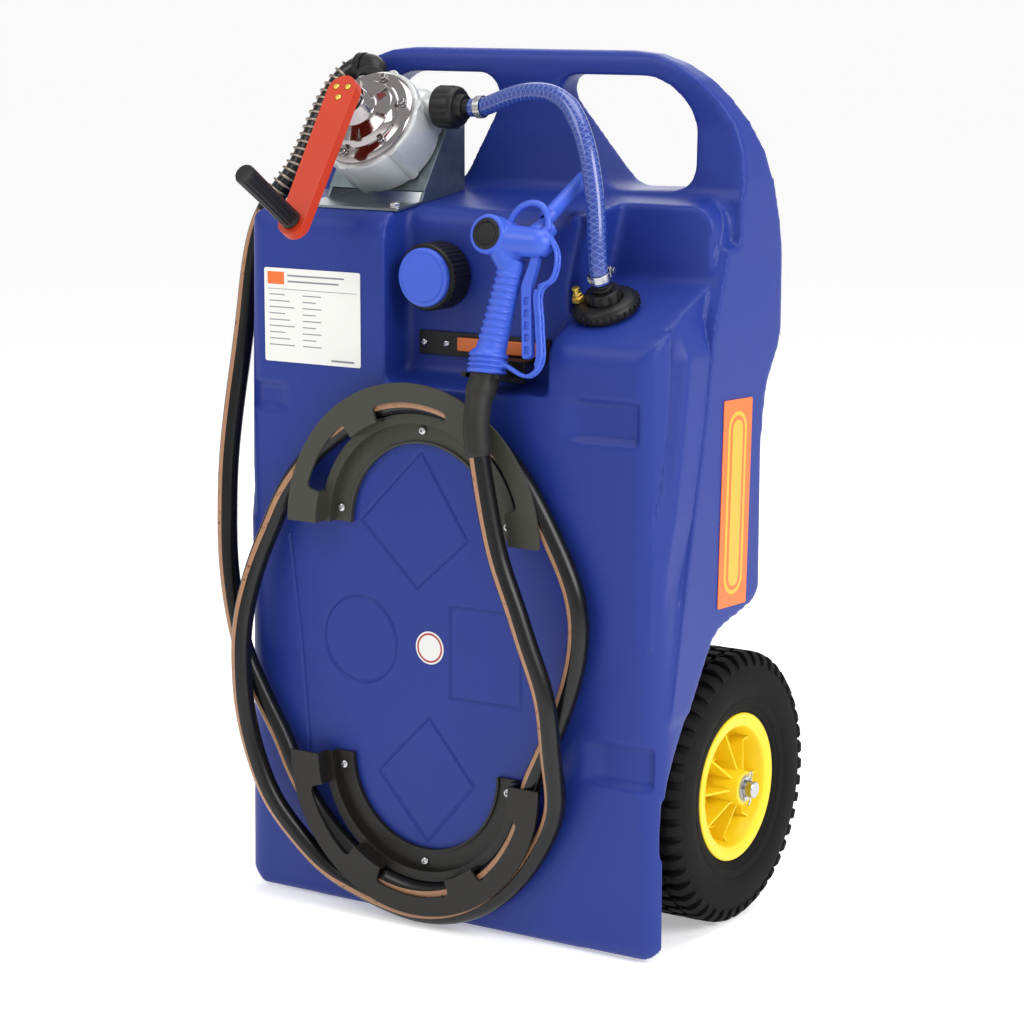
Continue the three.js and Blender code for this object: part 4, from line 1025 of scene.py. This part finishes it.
TOP_FRONT_Z, TOP_SLOPE, STAND_SHEET = 850.3, 21 / 180, 3
top_normal = (0, -math.sin(math.atan(TOP_SLOPE)), math.cos(math.atan(TOP_SLOPE)))
for number, (x, y) in enumerate(((-205, -129), (-85, -129), (-203, -4), (-87, -4)), 1):
    height = TOP_FRONT_Z + (y - FRONT) * TOP_SLOPE + STAND_SHEET
    hex_bolt(f"stand_bolt_{number}", aim(top_normal, (x, y, height)), 6, 4)

# ---- nozzle


VALVE, SPOUT = aim((0, -1, 0), (-10, 0, 158)), aim((17.5, 65.8, 73), (44, -4, 165))  # in the nozzle's frame


def grip_line(start, end, step):
    start, end = np.array(start, float), np.array(end, float)
    count = int(np.linalg.norm(end - start) / step) + 1
    return start + (end - start) * np.linspace(0, 1, count)[:, None]


def nozzle_body():
    """Collar, ribbed grip, valve barrel, hanging ring and trigger guard melted into one casting."""
    shell = Shell()
    collar = [(0, 0), (21.4, 0), (22.8, 1.4), (23.2, 4)]
    for z in (5.6, 11.4, 17.2):
        collar += [(23.2, z - 1.2), (20.4, z - 0.4), (20.4, z + 1.6), (23.2, z + 2.4)]
    shell.add(turned(collar + [(22.6, 22.4), (18, 27.5), (0, 27.5)], 72))
    line = grip_line((1, 0, 18), (18, 0, 132), 0.8)
    share = np.linspace(0, 1, len(line))
    base = np.interp(share, [0, 0.1, 0.5, 1], [18.2, 17.6, 16, 15.2])
    ribs = np.sin(2 * np.pi * share * 114 / 8.2)
    inside = smooth(share, 0.12, 0.17) * (1 - smooth(share, 0.86, 0.92))
    verts, faces = swept(line, base, 48)
    grooves = np.repeat(np.clip(ribs, -0.4, 0.7) * inside, 48)
    points = np.array(verts)
    centres = np.repeat(line, 48, axis=0)
    spoke = points - centres
    spoke /= np.linalg.norm(spoke, axis=1)[:, None]
    facing = spoke @ np.array([-0.1, -0.99, 0])  # the palm side, away from the tank
    points -= spoke * (2.1 * grooves * smooth(facing, -0.1, 0.35))[:, None]
    shell.add(([tuple(p) for p in points], faces))
    shell.add(rod((17, 0, 124), (-8, 0, 158), 15.5, 18, sides=48))
    shell.add(turned([(0, -20), (21, -20), (23, -18), (23, 17.5), (21.8, 20), (0, 20)], 72), VALVE)
    shell.add(rod((-4, 0, 154), (50, 0, 152.5), 19.4, 17.4, sides=48))
    shell.add(ball((50, 0, 152.5), 17.2, 32))
    shell.add(rod((40, 0, 155), (49, 18, 175), 14.6, 12.6, sides=48))
    ring = [(6, 168), (11, 182), (21, 193), (35, 198), (48, 195), (57, 184), (60, 168)]
    shell.add(swept(catmull([(x, 0, z) for x, z in ring]), 4, 18))
    guard = [(56, 170), (76, 142), (75, 115), (60, 99), (66, 60), (71.5, 16), (57, 1), (20, 13)]
    guard = spaced(catmull([(x, 0, z) for x, z in guard], 8), 2.5)
    inward = guard + np.array([-5.2, 0, 0]) * smooth(-np.abs(guard[:, 2] - 60), -52, -44)[:, None]
    for bar, radius, sides in ((guard, 2.3, 14), (inward, 1.7, 12)):
        for lean in (-3.1, 3.1):
            shell.add(swept(bar + (0, lean, 0), radius, sides))
    for i in range(4, len(guard) - 3, 5):
        shell.add(rod(guard[i] - (0, 4, 0), guard[i] + (0, 4, 0), 1.7, sides=10))
        shell.add(rod(guard[i], inward[i] + (1e-3, 0, 0), 1.5, sides=10))
    obj = fuse(shell.piece("nozzle_casting"), 1.0, 2)
    trigger_slot, hose_socket = block((32, -5, 100), (58, 5, 149.5)), disc(18.2, -20, 11)
    for hollow, at in ((trigger_slot, Matrix()), (disc(18.3, 16, 40), VALVE), (disc(9.3, 22, 80, 48), SPOUT),
                       (hose_socket, Matrix())):
        carve(obj, Shell().add(hollow, at))
    shade(obj, 60)
    return moved(obj, nozzle_frame)


put(nozzle_body(), "nozzle", "light_blue_plastic", replaces="nozzle_body")

valve = Shell().add(turned([(0, 16.3), (18, 16.3), (18, 19.6), (17.2, 20.9), (15.8, 21.4), (14.2, 21.2),
                            (13.6, 20.2), (12.8, 20.2), (12.2, 21), (0, 21.5)], 72), nozzle_frame @ VALVE)
put(valve.piece("nozzle_plug", sharp=50), "nozzle", "black_plastic", replaces="nozzle_valve_cap")

spout = Shell().add(turned([(6.5, 22.4), (9, 22.4), (9, 30), (9.2, 30.4), (9.2, 34), (8.9, 34.6), (8.7, 94),
                            (8.9, 94.4), (8.9, 97.4), (8.4, 99.4), (7.6, 100), (6.5, 99.6)]), nozzle_frame @ SPOUT)
put(spout.piece("nozzle_pipe", sharp=50), "nozzle", "light_blue_plastic", replaces="nozzle_spout")


def trigger():
    """Lever with shallow pockets in both sides."""
    half = 4.3
    outline = rounded([(46, 147, 3), (42, 128, 8), (35, 102, 14), (48, 18, 4), (60, 24, 4), (48, 102, 14),
                       (53, 128, 8), (54, 147, 3)])
    obj = Shell().add(prism(outline, -half, half), aim((0, -1, 0))).piece("trigger_lever")
    pockets = Shell()
    for z in (30, 44, 58, 72, 86):
        middle, low, high = 54 - (z - 20) * 0.152, z - 4.6, z + 4.6
        pocket = rounded([(middle - 3.4, low, 1), (middle + 3.4, low, 1), (middle + 2.6, high, 1),
                          (middle - 3.6, high, 1)])
        for face in (-half, half):
            pockets.add(prism(pocket, face - 2.6, face + 2.6), aim((0, -1, 0)))
    carve(obj, pockets)
    carve(obj, Shell().add(disc(2.2, -9, 9, 24), aim((0, -1, 0), (50, 0, 140))))
    finish_edges(moved(obj, nozzle_frame), 30, 0.6)
    return obj


put(trigger(), "nozzle_trigger", "light_blue_plastic", replaces="nozzle_trigger")

softened("nozzle_holder", "hanger", "black_plastic", 0.7)
softened("holder_clip", "hanger_bar", "orange_plastic", 1.4, 3)
for number, x in enumerate((-54, -22), 1):
    socket_screw(f"hanger_screw_{number}", aim((0, -1, 0), (x, -114.2, 698)), 4.6, 3, 2, 2)

# ---- wheels


def arc_block(profile, start, end):
    """Block between two angles whose section is a (radius, along) polygon."""
    return turned(profile, 3, start, end - start)


def tyre():
    """Carcass and tread: shoulder blocks, centre blocks and the ties between them."""
    outer = [(78.6, 35.8), (88, 36.4), (91.6, 37), (93.4, 38.8), (97, 40.6), (99, 40.6), (100, 42), (108, 44.2),
             (110, 43.8), (112, 45), (125, 46.8), (138, 46.4), (147, 44.8), (152, 42), (155.6, 37), (157.4, 28),
             (158, 0)]
    inside = [(154, 0), (153, 20), (147, 37), (124, 40), (104, 36), (92, 28), (78.6, 28)]
    profile = [(r, -a) for r, a in outer[:-1]] + outer[::-1]
    profile += inside[:0:-1] + [inside[0]] + [(r, -a) for r, a in inside[1:]]
    shell = Shell().add(turned(profile, 144))
    shoulder = [(146, 44), (149.4, 46.2), (156.6, 44.4), (163.6, 38), (164.8, 33), (164.8, 23), (156, 23),
                (152, 38)]
    centre = [(156, 2), (164.9, 2.6), (165, 17.5), (156, 18.4)]
    tie = [(156, 16), (161, 16), (161, 26), (156, 26)]
    lugs = 46
    for i in range(lugs):
        for side in (-1, 1):
            start, middle = 360 / lugs * (i + 0.25 * side), 360 / lugs * (i + (0.5 if side > 0 else 0))
            for profile, at, half in ((shoulder, start, 2.15), (centre, middle, 2.4), (tie, start, 1.1)):
                shell.add(arc_block([(r, side * a) for r, a in profile], at - half, at + half))
    return shell


def rim():
    """Bowl, hub and eight ribs on each side."""
    shell = Shell().add(turned([
        (13, -36), (21, -36), (21, -5), (66, -3.6), (69, -8), (71, -34), (74, -37.6), (83, -39), (88.6, -39),
        (90, -38), (90, -36.5), (79, -36.5), (77.6, -35), (77, -28), (77, 28), (77.6, 35), (79, 36.5), (90, 36.5),
        (90, 38), (88.6, 39), (83, 39), (80, 38.6), (74, 36.6), (71.4, 33), (69.4, 8), (67, 4), (21, 6), (21, 47),
        (20, 50), (13, 50)], 128))
    front_rib = [(19, 4), (70, 4), (70.6, 27), (64, 22), (24, 38), (19, 42)]
    back_rib = [(19, -4), (69, -3), (70, -26), (64, -21), (24, -28), (19, -30)]
    for i in range(8):
        for rib in (front_rib, back_rib):
            shell.add(prism(rib, -1.5, 1.5), spin(45 * i) @ Matrix.Rotation(math.radians(90), 4, "X"))
    shell.add(turned([(29, 4), (32, 4), (31.6, 11), (29.4, 11)], 96))
    shell.add(turned([(52, 3.6), (55, 3.6), (54.6, 10), (52.4, 10)], 96))
    return shell


def split_pin(x):
    bends = np.linspace(-0.6, math.pi + 0.6, 22)
    eye = [(x, WHEEL_Y + 3.4 * math.cos(a), 182 + 4.4 * math.sin(a)) for a in bends]
    wire = [(x, 50.95, 148), (x, 50.95, 176), *eye, (x, 49.05, 176), (x, 49.05, 150)]
    pin = Shell().add(swept(wire, 0.95, 12))
    return pin.add(swept([(x, 49.05, 151), (x, 48.6, 148), (x, 45, 145.5)], 0.95, 12))


WHEEL_X, WHEEL_Y, WHEEL_Z, PIN_X = 247, 50, 165, 304
tread, hub = tyre(), rim()
for hand, side in (("left", -1), ("right", 1)):
    at = aim((side, 0, 0), (side * WHEEL_X, WHEEL_Y, WHEEL_Z))
    wheel = f"wheel_{hand}"
    rubber = Shell().add((tread.verts, tread.faces), at)
    rubber = rubber.piece(f"tyre_tread_{hand}", sharp=40, bevel=0.7, segments=1)
    put(rubber, wheel, "tyre", replaces=f"tyre_{hand}")
    bowl = Shell().add((hub.verts, hub.faces), at).piece(f"wheel_rim_{hand}", sharp=32, bevel=0.5)
    put(bowl, wheel, "yellow_rim", replaces=f"rim_{hand}")
    bush = [(10.3, -36), (12.7, -36), (12.7, 50), (16.6, 50.1), (16.6, 50.3), (10.3, 50.3)]
    bush = Shell().add(turned(bush), at).piece(f"bush_{hand}")
    put(bush, wheel, "white_plastic", "bush", replaces=f"hub_bush_{hand}")
    washer = [(10.3, 50.5), (14.8, 50.5), (15, 50.8), (15, 52.1), (14.8, 52.4), (10.3, 52.4)]
    washer = Shell().add(turned(washer), at).piece(f"washer_{hand}")
    put(washer, "caddy", "steel", replaces=f"axle_washer_{hand}")
    pin = split_pin(side * PIN_X).piece(f"cotter_{hand}", sharp=60, weld=False)
    put(pin, "caddy", "steel", replaces=f"split_pin_{hand}")
    softened(f"axle_strap_{hand}", f"axle_clamp_{hand}", "zinc", 0.6)
    for number, z in enumerate((142, 188), 1):
        hex_bolt(f"clamp_bolt_{hand}_{number}", aim((0, 1, 0), (side * 150, 75.4, z)), 5, 3.4)

axle = Shell().add(turned([(0, -311), (9, -311), (10, -310), (10, 310), (9, 311), (0, 311)]),
                   aim((1, 0, 0), (0, WHEEL_Y, WHEEL_Z))).piece("axle_bar")
for side in (-1, 1):
    carve(axle, Shell().add(disc(2.2, -30, 30, 24), Matrix.Translation((side * PIN_X, WHEEL_Y, WHEEL_Z))))
shade(axle, 40)
put(axle, "caddy", "steel", replaces="axle")

# ---- CAD parts that keep their shape

for part, look in {
    "filler_neck": "black_plastic", "filler_gasket": "rubber", "suction_gasket": "rubber",
    "suction_pipe": "black_plastic", "foot_strainer": "black_plastic", "pump_shaft": "steel", "crank_pin": "steel",
    "shaft_bush": "brass", "pump_rotor": "cast_aluminium", "rotor_vane_upper": "black_plastic",
    "rotor_vane_lower": "black_plastic",
}.items():
    for place in nodes[part].material_slots:
        place.material = looks[look]

# ---- studio


def studio():
    """Pale floor, even surroundings and four soft lamps aimed at the middle of the part."""
    mesh = bpy.data.meshes.new("floor")
    size = 400
    mesh.from_pydata([(-size, -size, 0), (size, -size, 0), (size, size, 0), (-size, size, 0)], [], [(0, 1, 2, 3)])
    floor = placed("floor", mesh)
    mat, tree, shader = blank_material("floor_white")
    white = (1, 1, 1, 1)
    feed(tree, shader, {"Base Color": (0.95, 0.95, 0.95, 1), "Roughness": 0.6, "Emission Color": white,
                        "Emission Strength": 0.38})
    mesh.materials.append(mat)

    world = bpy.data.worlds.new("studio")
    world.use_nodes = True
    feed(world.node_tree, world.node_tree.nodes["Background"], {"Color": white, "Strength": 0.6})
    bpy.context.scene.world = world

    middle = Vector((0, 0, 0.5))
    for name, place, size, power in (
        ("key", (-0.8, -1.7, 2.2), 1.1, 14),
        ("right", (3.0, -0.6, 2.2), 1.8, 72),
        ("top", (0.4, 0.2, 3.4), 2.0, 42),
        ("back", (-1.5, 3.0, 2.2), 2.0, 26),
    ):
        data = bpy.data.lights.new(name, "AREA")
        data.shape, data.size, data.energy = "SQUARE", size, power
        lamp = placed(name, data)
        lamp.location = place
        lamp.rotation_euler = (middle - lamp.location).to_track_quat("-Z", "Y").to_euler()


studio()
bpy.context.scene.view_settings.view_transform = "Standard"
